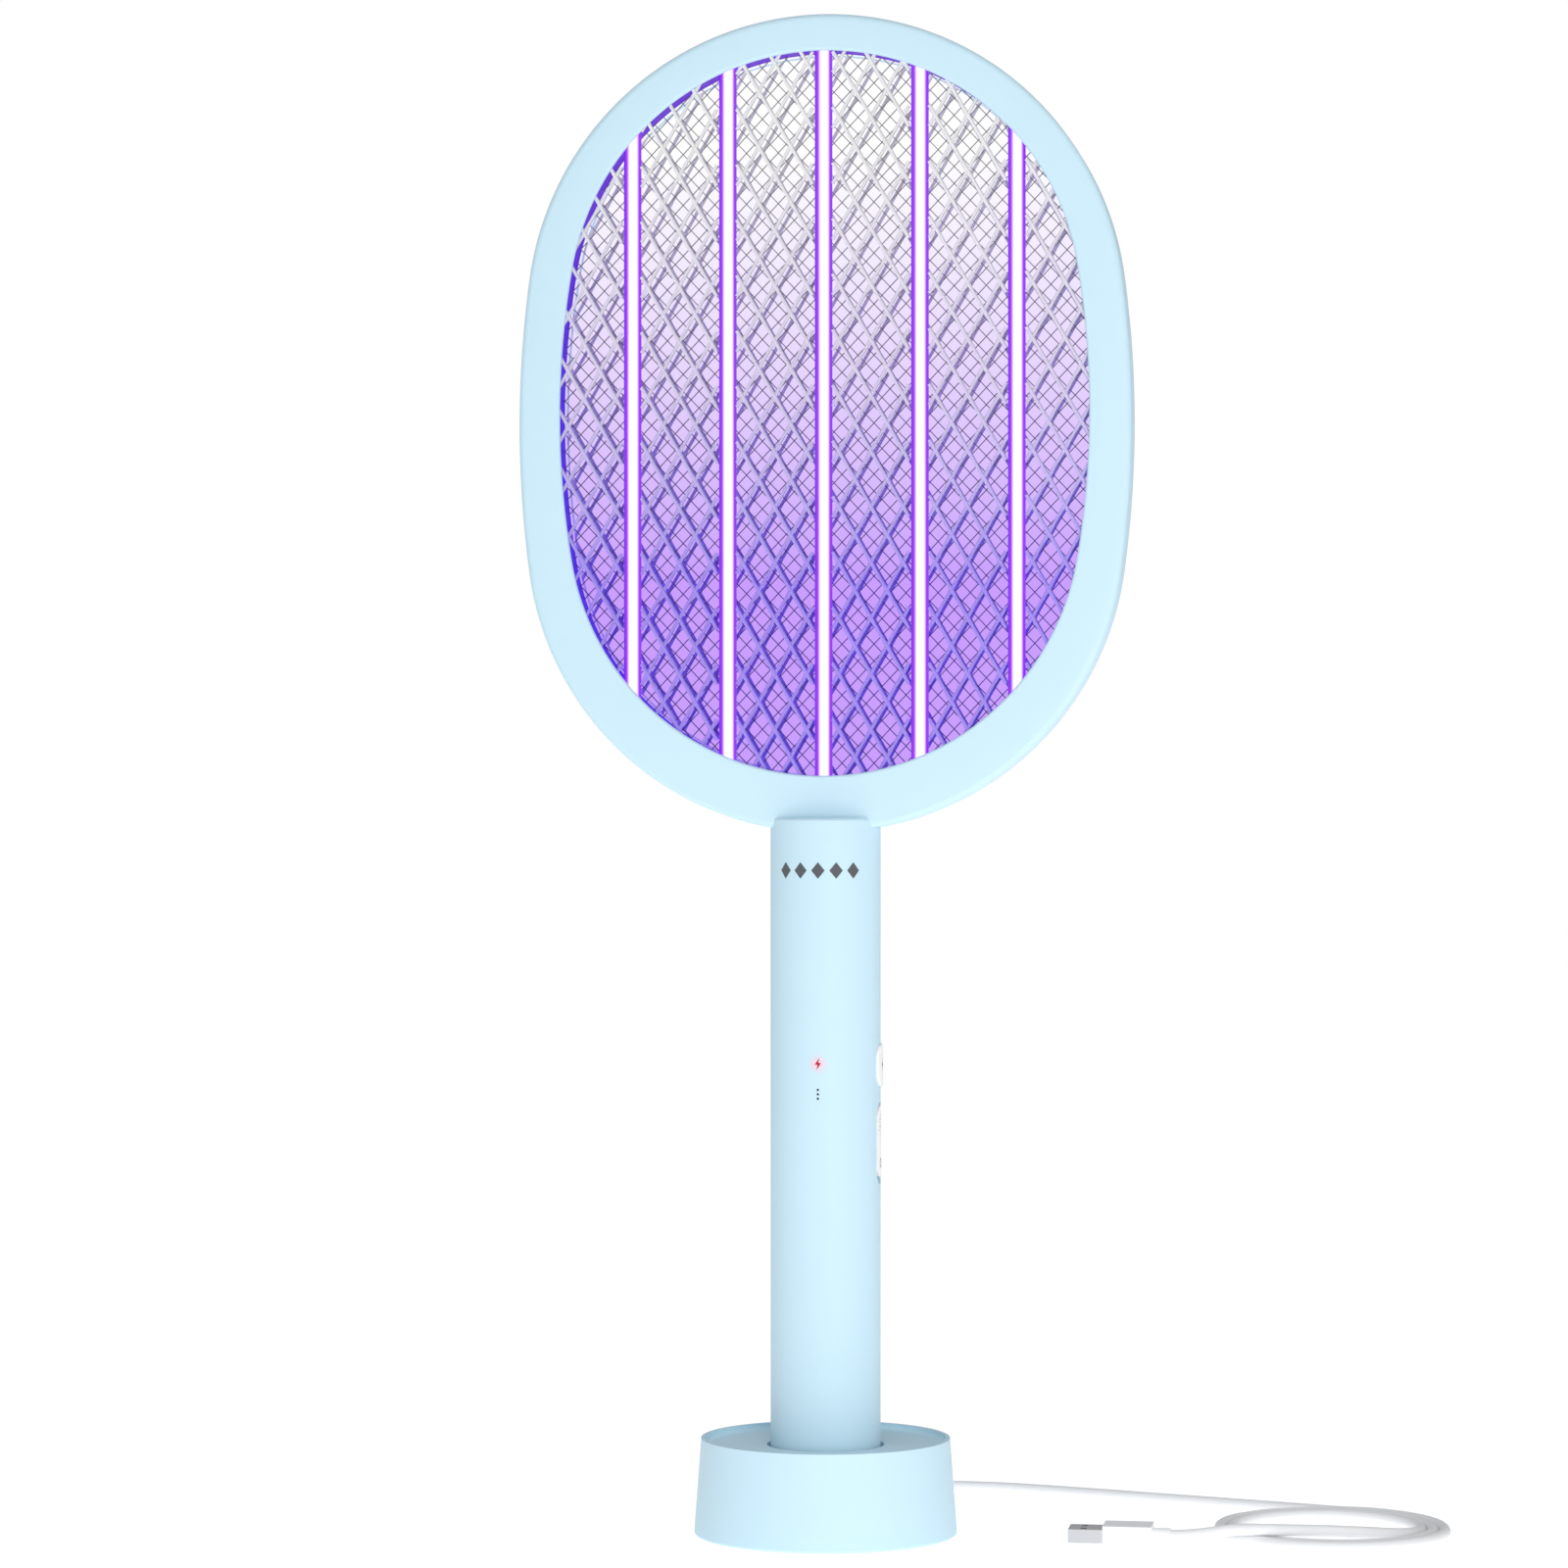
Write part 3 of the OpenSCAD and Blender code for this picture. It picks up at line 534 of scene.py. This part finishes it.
# %% The front shell's finish with painted shade and the soft red spot
def shaded_glow_shell_finish():
    """Satin blue a shade darker than the ring's, as painted shade against the brighter light on the
    handle, that turns pinkish round the lit sign.
    """
    # A little darker than the ring's blue: painted shade that tones down the brighter light on the
    # handle's front.
    finish = skin_finish("satin_blue_shaded_by_the_sign", (200, 230, 244), 0.48, specular=0.42)
    tree = finish.node_tree
    shader = tree.nodes["Principled BSDF"]
    plain = shader.inputs["Base Color"].links[0].from_socket
    spot = place_group(finish, soft_spot, Height=sign_height, Radius=sign_halo)
    share, first, second, blend = add_colour_mix(tree)
    second.default_value = screen_colour(236, 208, 222)
    tree.links.new(spot.outputs["Mask"], share)
    tree.links.new(plain, first)
    tree.links.new(blend, shader.inputs["Base Color"])
    return finish


front_shell_shaded_blue = shaded_glow_shell_finish()
print("finish:", front_shell_shaded_blue.name)


# %% [markdown]
# ## Dressing the CAD pieces
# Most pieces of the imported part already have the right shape, and only want their finish. Each
# comes in with a material named after its slot in the record, so one loop dresses all of them.
# Picking a finish for each piece by hand would be longer, and would miss a piece that is new.

# %% Give every CAD piece its finish
def dress(piece, finish):
    """Puts one finish on all of a piece's material slots."""
    if not piece.data.materials:
        piece.data.materials.append(finish)
    for place in range(len(piece.data.materials)):
        piece.data.materials[place] = finish


slot_of = {}
for slot_row in frame["record"]["materials"]:
    for member in slot_row.get("nodes", []):
        slot_of[member] = slot_row["slot"]
for name, piece in nodes.items():
    own = piece.data.materials[0].name.split(".")[0] if piece.data.materials else ""
    slot_of.setdefault(name, own)
    dress(piece, finishes.get(slot_of[name], finishes["blue_plastic"]))
dress(nodes["handle_front_shell"], front_shell_shaded_blue)
dress(nodes["rear_guard_net"], rear_strands_shaded)
dress(nodes["light_guide_rear"], rear_guide_violet)
print("undressed:", [n for n in nodes if slot_of[n] not in finishes])


# %% [markdown]
# ## The charging lead
# The lead is a white cord 4 mm thick and about 0.8 m long. It leaves the sleeve of its plug behind
# the dock, sinks to the table, runs round to the right and lies there in a coil of two and a half
# turns; its last part climbs over the turns and ends in the plug. A curve with a round bevel is the
# cleanest way to make a cord: the points of its route are joined by one smooth line.

# %% Route of the lead
lead_thick = 0.004
lead_rest = 0.00205
lead_on_top = 0.00615
coil_x = 0.170
coil_y = 0.0255
coil_outer = 0.040
coil_start = 72
turn_gap = 0.0041
coil_sweep = 882
climb_sweep = 100
coil_inner = coil_outer - turn_gap * coil_sweep / 360


def on_coil(swept, height):
    """A point of the coil that has turned clockwise and inwards by an angle in degrees."""
    angle = math.radians(coil_start - swept)
    radius = coil_outer - turn_gap * swept / 360
    return (coil_x + radius * math.cos(angle), coil_y + radius * math.sin(angle), height)


lead_way = [
    (0, 0.0659, 0.0136), (0, 0.072, 0.0133), (0.0006, 0.080, 0.0112), (0.0036, 0.0888, 0.0076),
    (0.010, 0.0966, 0.0041), (0.020, 0.1022, 0.0023), (0.033, 0.1046, lead_rest),
    (0.050, 0.1034, lead_rest), (0.068, 0.0988, lead_rest), (0.086, 0.0932, lead_rest),
    (0.104, 0.0872, lead_rest), (0.122, 0.0814, lead_rest), (0.140, 0.0756, lead_rest),
    (0.158, 0.0698, lead_rest), (0.172, 0.0651, lead_rest),
]
flat_sweep = coil_sweep - climb_sweep
flat_steps = 46
for step in range(flat_steps + 1):
    lead_way.append(on_coil(flat_sweep * step / flat_steps, lead_rest))
climb_steps = 5
for step in range(1, climb_steps + 1):
    share = step / climb_steps
    lift = turn_gap * share * share * (3 - 2 * share)
    lead_way.append(on_coil(flat_sweep + climb_sweep * share, lead_rest + lift))
tail_y = coil_y - coil_inner
for back, aside, height in [
    (0.008, 0, lead_on_top), (0.016, 0.0001, lead_on_top), (0.024, 0.0004, lead_on_top),
    (0.032, 0.0009, 0.0058), (0.039, 0.0014, 0.0047), (0.046, 0.0018, 0.0039),
    (0.052, 0.002, 0.00365),
]:
    lead_way.append((coil_x - back, tail_y - aside, height))
print("points of the route:", len(lead_way))


# %% A smooth line through the route
def smooth_line(points, parts):
    """Points on a smooth line through all the given points, with parts between each two."""
    line = []
    for place in range(len(points) - 1):
        before = Vector(points[max(place - 1, 0)])
        start = Vector(points[place])
        end = Vector(points[place + 1])
        after = Vector(points[min(place + 2, len(points) - 1)])
        for part in range(parts):
            t = part / parts
            line.append(
                0.5 * ((2 * start) + (end - before) * t
                       + (2 * before - 5 * start + 4 * end - after) * t * t
                       + (3 * start - before - 3 * end + after) * t * t * t)
            )
    line.append(Vector(points[-1]))
    return line


lead_line = smooth_line(lead_way, 4)


# %% The lead's curve
lead_curve = bpy.data.curves.new("charging_lead", "CURVE")
lead_curve.dimensions = "3D"
lead_spline = lead_curve.splines.new("POLY")
lead_spline.points.add(len(lead_line) - 1)
for point, place in zip(lead_spline.points, lead_line):
    point.co = (*place, 1)
lead_spline.use_smooth = True
lead_curve.bevel_depth = lead_thick / 2
lead_curve.bevel_resolution = 4
lead_curve.use_fill_caps = True
lead_curve.materials.append(finishes["lead_white"])
lead = bpy.data.objects.new("charging_lead", lead_curve)
bpy.context.scene.collection.objects.link(lead)
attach(lead, "dock")
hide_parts("lead_run", "lead_coil", "lead_tail")
print("points of the lead:", len(lead_spline.points))


# %% [markdown]
# ## The outline of the head
# The ring and its opening are both ovals of four arcs: two long ones at the sides and two round
# ones at the ends, which meet without a corner. One function gives stations round such an oval, with
# the direction that leads outwards at each, and everything in the head is built along them. A
# stretched circle would be quicker, but it is too pointed at the ends and too round at the sides.

# %% Ovals of four arcs
HEAD_OVAL = (0.105, 0.139, 0.1025, 0.379)
NET_OVAL = (0.0908, 0.1232, 0.0878, 0.3824)


def arc_facts(oval):
    """Reach of the end arcs' centres, radius of the side arcs and half the angle they turn.

    An oval is its half width, half height, radius of the end arcs and height of its centre."""
    half_width, half_height, end_radius, _ = oval
    reach = half_height - end_radius
    side_radius = (half_width**2 + reach**2 - end_radius**2) / (2 * (half_width - end_radius))
    return reach, side_radius, math.atan2(reach, side_radius - half_width)


def oval_stations(oval, side_steps=44, end_steps=104):
    """Places round an oval: x, z and the outward direction's x and z."""
    reach, side_radius, side_turn = arc_facts(oval)
    shift = side_radius - oval[0]
    arcs = [
        (-shift, oval[3], side_radius, -side_turn, side_turn, side_steps),
        (0, oval[3] + reach, oval[2], side_turn, math.pi - side_turn, end_steps),
        (shift, oval[3], side_radius, math.pi - side_turn, math.pi + side_turn, side_steps),
        (0, oval[3] - reach, oval[2], math.pi + side_turn, 2 * math.pi - side_turn, end_steps),
    ]
    places = []
    for centre_x, centre_z, radius, start, end, steps in arcs:
        for step in range(steps):
            angle = start + (end - start) * step / steps
            across, up = math.cos(angle), math.sin(angle)
            places.append((centre_x + radius * across, centre_z + radius * up, across, up))
    return places


def oval_half_width(oval, z, grow=0.0):
    """Half width of an oval at a height, with the oval made larger by grow; 0 above and below it."""
    reach, side_radius, side_turn = arc_facts(oval)
    rise = abs(z - oval[3])
    if rise <= (side_radius + grow) * math.sin(side_turn):
        return math.sqrt((side_radius + grow) ** 2 - rise**2) - (side_radius - oval[0])
    inside = (oval[2] + grow) ** 2 - (rise - reach) ** 2
    return math.sqrt(inside) if inside > 0 else 0.0


print("stations round the head:", len(oval_stations(HEAD_OVAL)))


# %% [markdown]
# ## The two shells of the ring
# The ring is two mouldings that meet on the middle plane. Each is the same section carried round
# the oval: a small round outer edge, a flat face, a crisp edge round the opening and the walls
# inside. Bevelling a solid would give an uneven rounding where the two ovals are not parallel, so
# the section is written as points that count from one outline or the other and is lofted. A small
# chamfer where the shells meet leaves the fine parting line that runs round the real ring.

# %% Section of one shell
FACE = -0.0092
SEAT = -0.00745
MIDDLE = -0.00001
OPENING = 0
OUTLINE = 1
outer_round = 0.0022
opening_round = 0.0010
parting_chamfer = 0.0003
shell_wall = 0.0018
seat_width = 0.0026
rib_back = 0.0042


def rounding(line, radius, steps):
    """Points of a quarter round between a wall of the section and its flat face."""
    points = []
    for step in range(steps + 1):
        turn = math.pi / 2 * step / steps
        if line == OPENING:
            turn = math.pi / 2 - turn
        points.append((line, radius * (1 - math.cos(turn)), FACE + radius * (1 - math.sin(turn))))
    return points


shell_section = (
    [(OUTLINE, parting_chamfer, MIDDLE), (OUTLINE, 0.0, -parting_chamfer)]
    + rounding(OUTLINE, outer_round, 10)
    + rounding(OPENING, opening_round, 6)
    + [(OPENING, 0.0, SEAT), (OPENING, seat_width, SEAT), (OPENING, seat_width, MIDDLE),
       (OPENING, rib_back, MIDDLE), (OPENING, rib_back, FACE + shell_wall),
       (OUTLINE, shell_wall, FACE + shell_wall), (OUTLINE, shell_wall, MIDDLE)]
)
print("points of the section:", len(shell_section))


# %% Loft the shells
def mesh_piece(name, points, faces, finish, body, sharp_angle=35):
    """A piece from points and faces, smooth but for edges sharper than an angle, on a body."""
    mesh = bpy.data.meshes.new(name)
    mesh.from_pydata(points, [], faces)
    builder = bmesh.new()
    builder.from_mesh(mesh)
    bmesh.ops.recalc_face_normals(builder, faces=builder.faces)
    builder.to_mesh(mesh)
    builder.free()
    mesh.shade_smooth()
    mesh.set_sharp_from_angle(angle=math.radians(sharp_angle))
    mesh.materials.append(finish)
    piece = bpy.data.objects.new(name, mesh)
    bpy.context.scene.collection.objects.link(piece)
    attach(piece, body)
    return piece


def ring_shell(name, side):
    """The front (side 1) or rear (side -1) shell of the ring."""
    lines = (oval_stations(NET_OVAL), oval_stations(HEAD_OVAL))
    count = len(lines[OPENING])
    corners = len(shell_section)
    points, faces = [], []
    for place in range(count):
        for line, distance, depth in shell_section:
            x, z, across, up = lines[line][place]
            away = -distance if line == OUTLINE else distance
            points.append((x + across * away, depth * side, z + up * away))
    for place in range(count):
        following = (place + 1) % count
        for corner in range(corners):
            after = (corner + 1) % corners
            faces.append((place * corners + corner, place * corners + after,
                          following * corners + after, following * corners + corner))
    return mesh_piece(name, points, faces, finishes["blue_plastic"], "swatter")


front_ring = ring_shell("ring_front", 1)
rear_ring = ring_shell("ring_rear", -1)
for piece, node in ((front_ring, "head_front_shell"), (rear_ring, "head_rear_shell")):
    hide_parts(node)
print("faces of a shell:", len(front_ring.data.polygons))


# %% [markdown]
# ## Screw wells in the rear shell
# Ten screws hold the two shells together from behind, with their heads sunk in round wells. The
# wells stand half way between the two outlines. They could be drawn into the section's mesh, but a
# boolean with a mesh of ten short drums cuts them all at once and keeps the ring's rows of faces. It
# is applied straight away, so that the piece keeps no modifier.

# %% Places of the screws
def screw_places():
    """Centres of the head's ten screws, as x and z."""
    radius = (HEAD_OVAL[2] + NET_OVAL[2]) / 2
    reach = (arc_facts(HEAD_OVAL)[0] + arc_facts(NET_OVAL)[0]) / 2
    middle = (HEAD_OVAL[3] + NET_OVAL[3]) / 2
    places = [(side * (HEAD_OVAL[0] + NET_OVAL[0]) / 2, middle) for side in (-1, 1)]
    for bearings, way in (((-55, -10, 10, 55), 1), ((-60, -25, 25, 60), -1)):
        for bearing in bearings:
            angle = math.radians(bearing)
            rise = reach + radius * math.cos(angle)
            places.append((radius * math.sin(angle), middle + way * rise))
    return places


print("screws of the head:", len(screw_places()))


# %% Cut the screw wells
def well_drums(places, radius, near, far, sides=40):
    """A mesh of round drums that stand from depth near to depth far."""
    drums = bmesh.new()
    for x, z in places:
        rims = []
        for y in (near, far):
            rims.append([
                drums.verts.new((x + radius * math.cos(2 * math.pi * side / sides), y,
                                 z + radius * math.sin(2 * math.pi * side / sides)))
                for side in range(sides)
            ])
        for side in range(sides):
            after = (side + 1) % sides
            drums.faces.new((rims[0][side], rims[0][after], rims[1][after], rims[1][side]))
        drums.faces.new(rims[0][::-1])
        drums.faces.new(rims[1])
    bmesh.ops.recalc_face_normals(drums, faces=drums.faces)
    drum_mesh = bpy.data.meshes.new("well_drums")
    drums.to_mesh(drum_mesh)
    drums.free()
    return drum_mesh


def cut_away(piece, drum_mesh):
    """Takes the drums out of a piece for good."""
    drum_piece = bpy.data.objects.new("well_drums", drum_mesh)
    bpy.context.scene.collection.objects.link(drum_piece)
    cut = piece.modifiers.new("wells", "BOOLEAN")
    cut.operation = "DIFFERENCE"
    cut.object = drum_piece
    cut.solver = "EXACT"
    ready = piece.evaluated_get(bpy.context.evaluated_depsgraph_get())
    cut_mesh = bpy.data.meshes.new_from_object(ready)
    cut_mesh.set_sharp_from_angle(angle=math.radians(30))
    piece.modifiers.clear()
    piece.data = cut_mesh
    bpy.data.objects.remove(drum_piece)


well_radius = 0.0024
well_floor = 0.0072
well_mouth = 0.0110
cut_away(rear_ring, well_drums(screw_places(), well_radius, well_floor, well_mouth))
print("faces of the rear shell with its wells:", len(rear_ring.data.polygons))


# %% [markdown]
# ## The guard nets
# Each side of the head has a net of expanded metal: bars that lean to the left and to the right and
# meet every half diamond, broader where they meet and twisted, so that each shows a broad face and
# a narrow edge; the light on the broad face and the shade on the edge are painted in the finish. A
# wireframe modifier on a grid would make them all round and even. Here each bar is its own tapering
# strip, cut to the opening, and in the front net also to the slots in which the lamps stand.

# %% Where the bars run
half_pitch_x = 0.0055
half_pitch_z = 0.00945
bar_step = math.hypot(half_pitch_x, half_pitch_z)
crossing_z = 0.3222
bar_parts = 8
bar_reach = 220
net_overlap = 0.0016
lamp_places = [-0.066, -0.033, 0.0, 0.033, 0.066]


def open_place(x, z, slot):
    """Whether a net may have metal here: inside the opening and outside the lamps' slots."""
    if abs(x) > oval_half_width(NET_OVAL, z, net_overlap):
        return False
    return all(abs(x - lamp) > slot for lamp in lamp_places)


def bar_runs(lean, line, shift, slot):
    """Stretches of one bar that have metal, as lists of distances from its crossing at row 0."""
    runs, run = [], []
    for tick in range(-bar_reach, bar_reach + 1):
        distance = bar_step * tick / bar_parts
        x = shift + line * 2 * half_pitch_x + distance * half_pitch_x / bar_step
        z = crossing_z + lean * distance * half_pitch_z / bar_step
        if open_place(x, z, slot):
            run.append(distance)
        elif run:
            runs.append(run)
            run = []
    return [run for run in runs + [run] if len(run) > 2]


print("distance between two crossings:", round(bar_step * 1000, 2), "mm")


# %% One bar of expanded metal
bar_outline = [(-1, -0.4), (-0.6, -1), (0.6, -1), (1, -0.4),
               (1, 0.4), (0.6, 1), (-0.6, 1), (-1, 0.4)]
bar_sides = len(bar_outline)
bar_half_thick = 0.00034
bar_tilt = 0.12
bar_swell = 0.2


def add_bar(points, faces, lean, line, shift, run, depth, width):
    """Adds one stretch of a bar: an eight-sided strip that swells at each crossing."""
    along = Vector((half_pitch_x, 0, lean * half_pitch_z)).normalized()
    aside = Vector((-half_pitch_z, 0, lean * half_pitch_x)).normalized()
    back = Vector((0, 1, 0))
    broad = aside * math.cos(bar_tilt) + back * math.sin(bar_tilt)
    thin = back * math.cos(bar_tilt) - aside * math.sin(bar_tilt)
    start = Vector((shift + line * 2 * half_pitch_x, depth, crossing_z))
    first = len(points)
    for distance in run:
        near = 0.5 + 0.5 * math.cos(2 * math.pi * distance / bar_step)
        half_width = width / 2 * (1 + bar_swell * near**3)
        for across, through in bar_outline:
            points.append(start + along * distance + broad * across * half_width
                          + thin * through * bar_half_thick)
    for place in range(len(run) - 1):
        base = first + place * bar_sides
        onward = base + bar_sides
        for corner in range(bar_sides):
            after = (corner + 1) % bar_sides
            faces.append((base + corner, base + after, onward + after, onward + corner))
    last = len(points) - 1
    faces.append(tuple(range(first, first + bar_sides)))
    faces.append(tuple(range(last, last - bar_sides, -1)))


print("sides of a bar:", bar_sides)


# %% Build both guard nets
bar_lines = 24
layer_step = 0.00003
net_depth = 0.0070
rear_shift = -0.00075
lamp_slot = 0.0033
front_widths = (0.00122, 0.00116)
rear_widths = (0.00108, 0.00108)


def guard_net(name, depth, shift, slot, finish, widths):
    """A whole net of bars that lean both ways, with a width for each of the two."""
    points, faces = [], []
    for lean, width in zip((-1, 1), widths):
        for line in range(-bar_lines, bar_lines + 1):
            for run in bar_runs(lean, line, shift, slot):
                add_bar(points, faces, lean, line, shift, run, depth + lean * layer_step, width)
    piece = mesh_piece(name, points, faces, finish, "swatter", 40)
    return piece


front_net = guard_net("net_front", -net_depth, 0.0, lamp_slot, front_strands, front_widths)
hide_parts("front_guard_net")
rear_net = guard_net("net_rear", net_depth, rear_shift, 0.0, rear_strands_shaded, rear_widths)
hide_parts("rear_guard_net")
print("faces of the nets:", len(front_net.data.polygons), len(rear_net.data.polygons))


# %% [markdown]
# ## Marks on the handle
# A row of five small diamonds stands where a maker would print a name. They are a thin print on a
# round handle, so each is a small patch bent round the handle, a few hundredths of a millimetre
# proud. Projecting a flat drawing with a shrinkwrap would do the same with more steps.

# %% Print the diamonds
print_proud = 0.00004
diamond_height = 0.2272
diamond_gap = 0.0062
diamond_half_width = 0.0023
diamond_half_height = 0.0028


def on_handle(across, z):
    """A point of a print on the front of the handle, across measured round its surface."""
    angle = across / HANDLE_RADIUS
    radius = HANDLE_RADIUS + print_proud
    return (radius * math.sin(angle), -radius * math.cos(angle), z)


def print_diamond(points, faces, across, z, half_width, half_height):
    """Adds one diamond as a fan of narrow strips."""
    strips = 8
    first = len(points)
    for strip in range(strips + 1):
        offset = half_width * (2 * strip / strips - 1)
        reach = half_height * (1 - abs(offset) / half_width) + 0.00001
        points.append(on_handle(across + offset, z - reach))
        points.append(on_handle(across + offset, z + reach))
    for strip in range(strips):
        base = first + strip * 2
        faces.append((base, base + 2, base + 3, base + 1))


diamond_places = range(-2, 3)
mark_points, mark_faces = [], []
for place in diamond_places:
    print_diamond(mark_points, mark_faces, place * diamond_gap, diamond_height,
                  diamond_half_width, diamond_half_height)
marks = mesh_piece("handle_marks", mark_points, mark_faces, mark_ink, "swatter")
print("diamonds:", len(diamond_places))


# %% [markdown]
# ## Marks on the trigger and the slider
# The white trigger carries a small grey spark, and the slider a small ring for its off end. They
# are thin prints too, on the right-hand side of the handle, so the same patches are bent round it
# a quarter turn further on. A mask in the finish would also do, but a print keeps a crisp edge.

# %% Print the spark and the ring
def on_right(across, z, radius):
    """A point on the right of the handle at a radius, across measured round towards the back."""
    angle = across / radius
    return (radius * math.cos(angle), radius * math.sin(angle), z)


def print_patch(name, corners, strips, radius, body):
    """A print on the right side: corners are (across, z), strips the faces between them."""
    points = [on_right(across, z, radius) for across, z in corners]
    piece = mesh_piece(name, points, strips, mark_ink, body)
    return piece


trigger_face = 0.01965
spark_height = 0.1607
spark_corners = [(0.0006, 0.0025), (-0.0013, -0.0003), (-0.0001, -0.0003),
                 (-0.0006, -0.0025), (0.0013, 0.0005), (0.0001, 0.0005)]
print_patch("trigger_spark", [(across, spark_height + up) for across, up in spark_corners],
            [(0, 1, 2, 5), (2, 3, 4, 5)], trigger_face, "trigger")

slider_face = 0.01905
ring_height = 0.1274
ring_radii = (0.0013, 0.0017)
ring_steps = 32
ring_corners = []
ring_strips = []
for step in range(ring_steps):
    angle = 2 * math.pi * step / ring_steps
    for radius in ring_radii:
        ring_corners.append((radius * math.cos(angle), ring_height + radius * math.sin(angle)))
    here = 2 * step
    onward = 2 * ((step + 1) % ring_steps)
    ring_strips.append((here, here + 1, onward + 1, onward))
print_patch("slider_ring", ring_corners, ring_strips, slider_face, "slider")
print("prints on the right:", 2)


# %% [markdown]
# ## Floor, background and light
# The swatter stands on a pale floor under a white sky. The floor gives a little light of its own,
# as a lit table does, so that it stays white far from the softboxes. Everything but the camera sees
# a dimmer sky, so that the softboxes can model the round handle; a Light Path node in the sky tells
# the two apart. A sky picture would also do, but this one needs no file.

# %% The floor
floor_half = 6
floor_glow = 0.6
floor_mesh = bpy.data.meshes.new("floor")
floor_mesh.from_pydata(
    [(-floor_half, -floor_half, 0), (floor_half, -floor_half, 0),
     (floor_half, floor_half, 0), (-floor_half, floor_half, 0)],
    [], [(0, 1, 2, 3)],
)
floor = bpy.data.objects.new("floor", floor_mesh)
floor_finish = skin_finish("pale_floor", (252, 252, 253), 0.6, change=0.004, grain_size=400.0,
                           specular=0.1)
floor_shader = floor_finish.node_tree.nodes["Principled BSDF"]
floor_shader.inputs["Emission Color"].default_value = (1, 1, 1, 1)
floor_shader.inputs["Emission Strength"].default_value = floor_glow
floor_mesh.materials.append(floor_finish)
bpy.context.scene.collection.objects.link(floor)
print("floor:", 2 * floor_half, "m square")


# %% The sky
sky_light = 0.41
sky = bpy.data.worlds.new("white_sky")
sky.use_nodes = True
bpy.context.scene.world = sky
sky_tree = sky.node_tree
sky_tree.nodes.clear()
seen = add_node(sky_tree, "ShaderNodeBackground", Color=(1, 1, 1, 1), Strength=1.0)
lighting = add_node(sky_tree, "ShaderNodeBackground", Color=(1, 1, 1, 1), Strength=sky_light)
path = sky_tree.nodes.new("ShaderNodeLightPath")
chosen = sky_tree.nodes.new("ShaderNodeMixShader")
sky_out = sky_tree.nodes.new("ShaderNodeOutputWorld")
sky_tree.links.new(path.outputs["Is Camera Ray"], chosen.inputs[0])
sky_tree.links.new(lighting.outputs[0], chosen.inputs[1])
sky_tree.links.new(seen.outputs[0], chosen.inputs[2])
sky_tree.links.new(chosen.outputs[0], sky_out.inputs["Surface"])
bpy.context.scene.view_settings.view_transform = "Standard"
print("sky:", sky.name, "with a strength of", sky_light)


# %% [markdown]
# ## Softboxes
# Five area lights stand round the swatter. A broad one to the front and right models the handle and
# the dock, and gives no shine; a tall narrow one beside it gives only the soft shine down the
# handle. A weak one lights the right side, one lights from above, and a small one with a narrow
# spread lifts the dock. Keeping shape and shine apart lets each be set without the other.

# %% Five softboxes
def softbox(name, place, aim, width, height, power, shape=True, shine=True):
    """An area light that looks at a point, with its height upright; it may leave out either job."""
    light = bpy.data.lights.new(name, "AREA")
    light.shape = "RECTANGLE"
    light.size = width
    light.size_y = height
    light.energy = power
    holder = bpy.data.objects.new(name, light)
    holder.location = place
    holder.rotation_euler = (Vector(aim) - Vector(place)).to_track_quat("-Z", "Y").to_euler()
    holder.visible_camera = False
    holder.visible_diffuse = shape
    holder.visible_glossy = shine
    bpy.context.scene.collection.objects.link(holder)
    return holder


softbox("front_softbox", (0.58, -1.25, 0.28), (0, 0, 0.24), 0.5, 0.6, 5.2, shine=False)
softbox("shine_softbox", (0.53, -1.3, 0.12), (0, 0, 0.12), 0.14, 1.0, 2.8, shape=False)
softbox("right_softbox", (1.5, 0.2, 0.4), (0, 0, 0.3), 0.8, 0.8, 0.3)
softbox("top_softbox", (-0.2, -0.5, 1.5), (0, 0, 0.1), 0.9, 0.9, 2.2, shine=False)
base_box = softbox("base_softbox", (0.12, -0.8, 0.5), (0, 0, 0.02), 0.3, 0.3, 0.065, shine=False)
base_box.data.spread = math.radians(44)
print("lights:", len(bpy.data.lights))


# %% [markdown]
# ## The violet air behind the nets
# The lamps fill the head with violet light, which shows between the wires as a tint that grows from
# the top down. Real mist would cost a lot of render time for such an even tint, so a card of the
# opening's shape stands between the live net and the rear net: a see-through sheet that only
# colours what is behind it. It belongs to the stage, like the floor, and moves with the head.

# %% The card
def tint_finish():
    """A clear sheet whose tint follows the violet fall."""
    finish = bpy.data.materials.new("violet_air")
    finish.use_nodes = True
    tree = finish.node_tree
    tree.nodes.clear()
    fall = fall_colours(finish, (255, 255, 255), (230, 211, 255), (202, 159, 255))
    clear = tree.nodes.new("ShaderNodeBsdfTransparent")
    out = tree.nodes.new("ShaderNodeOutputMaterial")
    tree.links.new(fall.outputs["Colour"], clear.inputs["Color"])
    tree.links.new(clear.outputs[0], out.inputs["Surface"])
    return finish


card_depth = 0.0023
card_overlap = 0.0015
card_mesh = bpy.data.meshes.new("violet_air")
card_points = [(x + across * card_overlap, card_depth, z + up * card_overlap)
               for x, z, across, up in oval_stations(NET_OVAL, 16, 48)]
card_mesh.from_pydata(card_points, [], [tuple(range(len(card_points)))])
card_mesh.materials.append(tint_finish())
card = bpy.data.objects.new("violet_air", card_mesh)
bpy.context.scene.collection.objects.link(card)
card.visible_diffuse = False
card.visible_glossy = False
card.visible_transmission = False
card.visible_shadow = False
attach(card, "swatter")
print("card corners:", len(card_points))
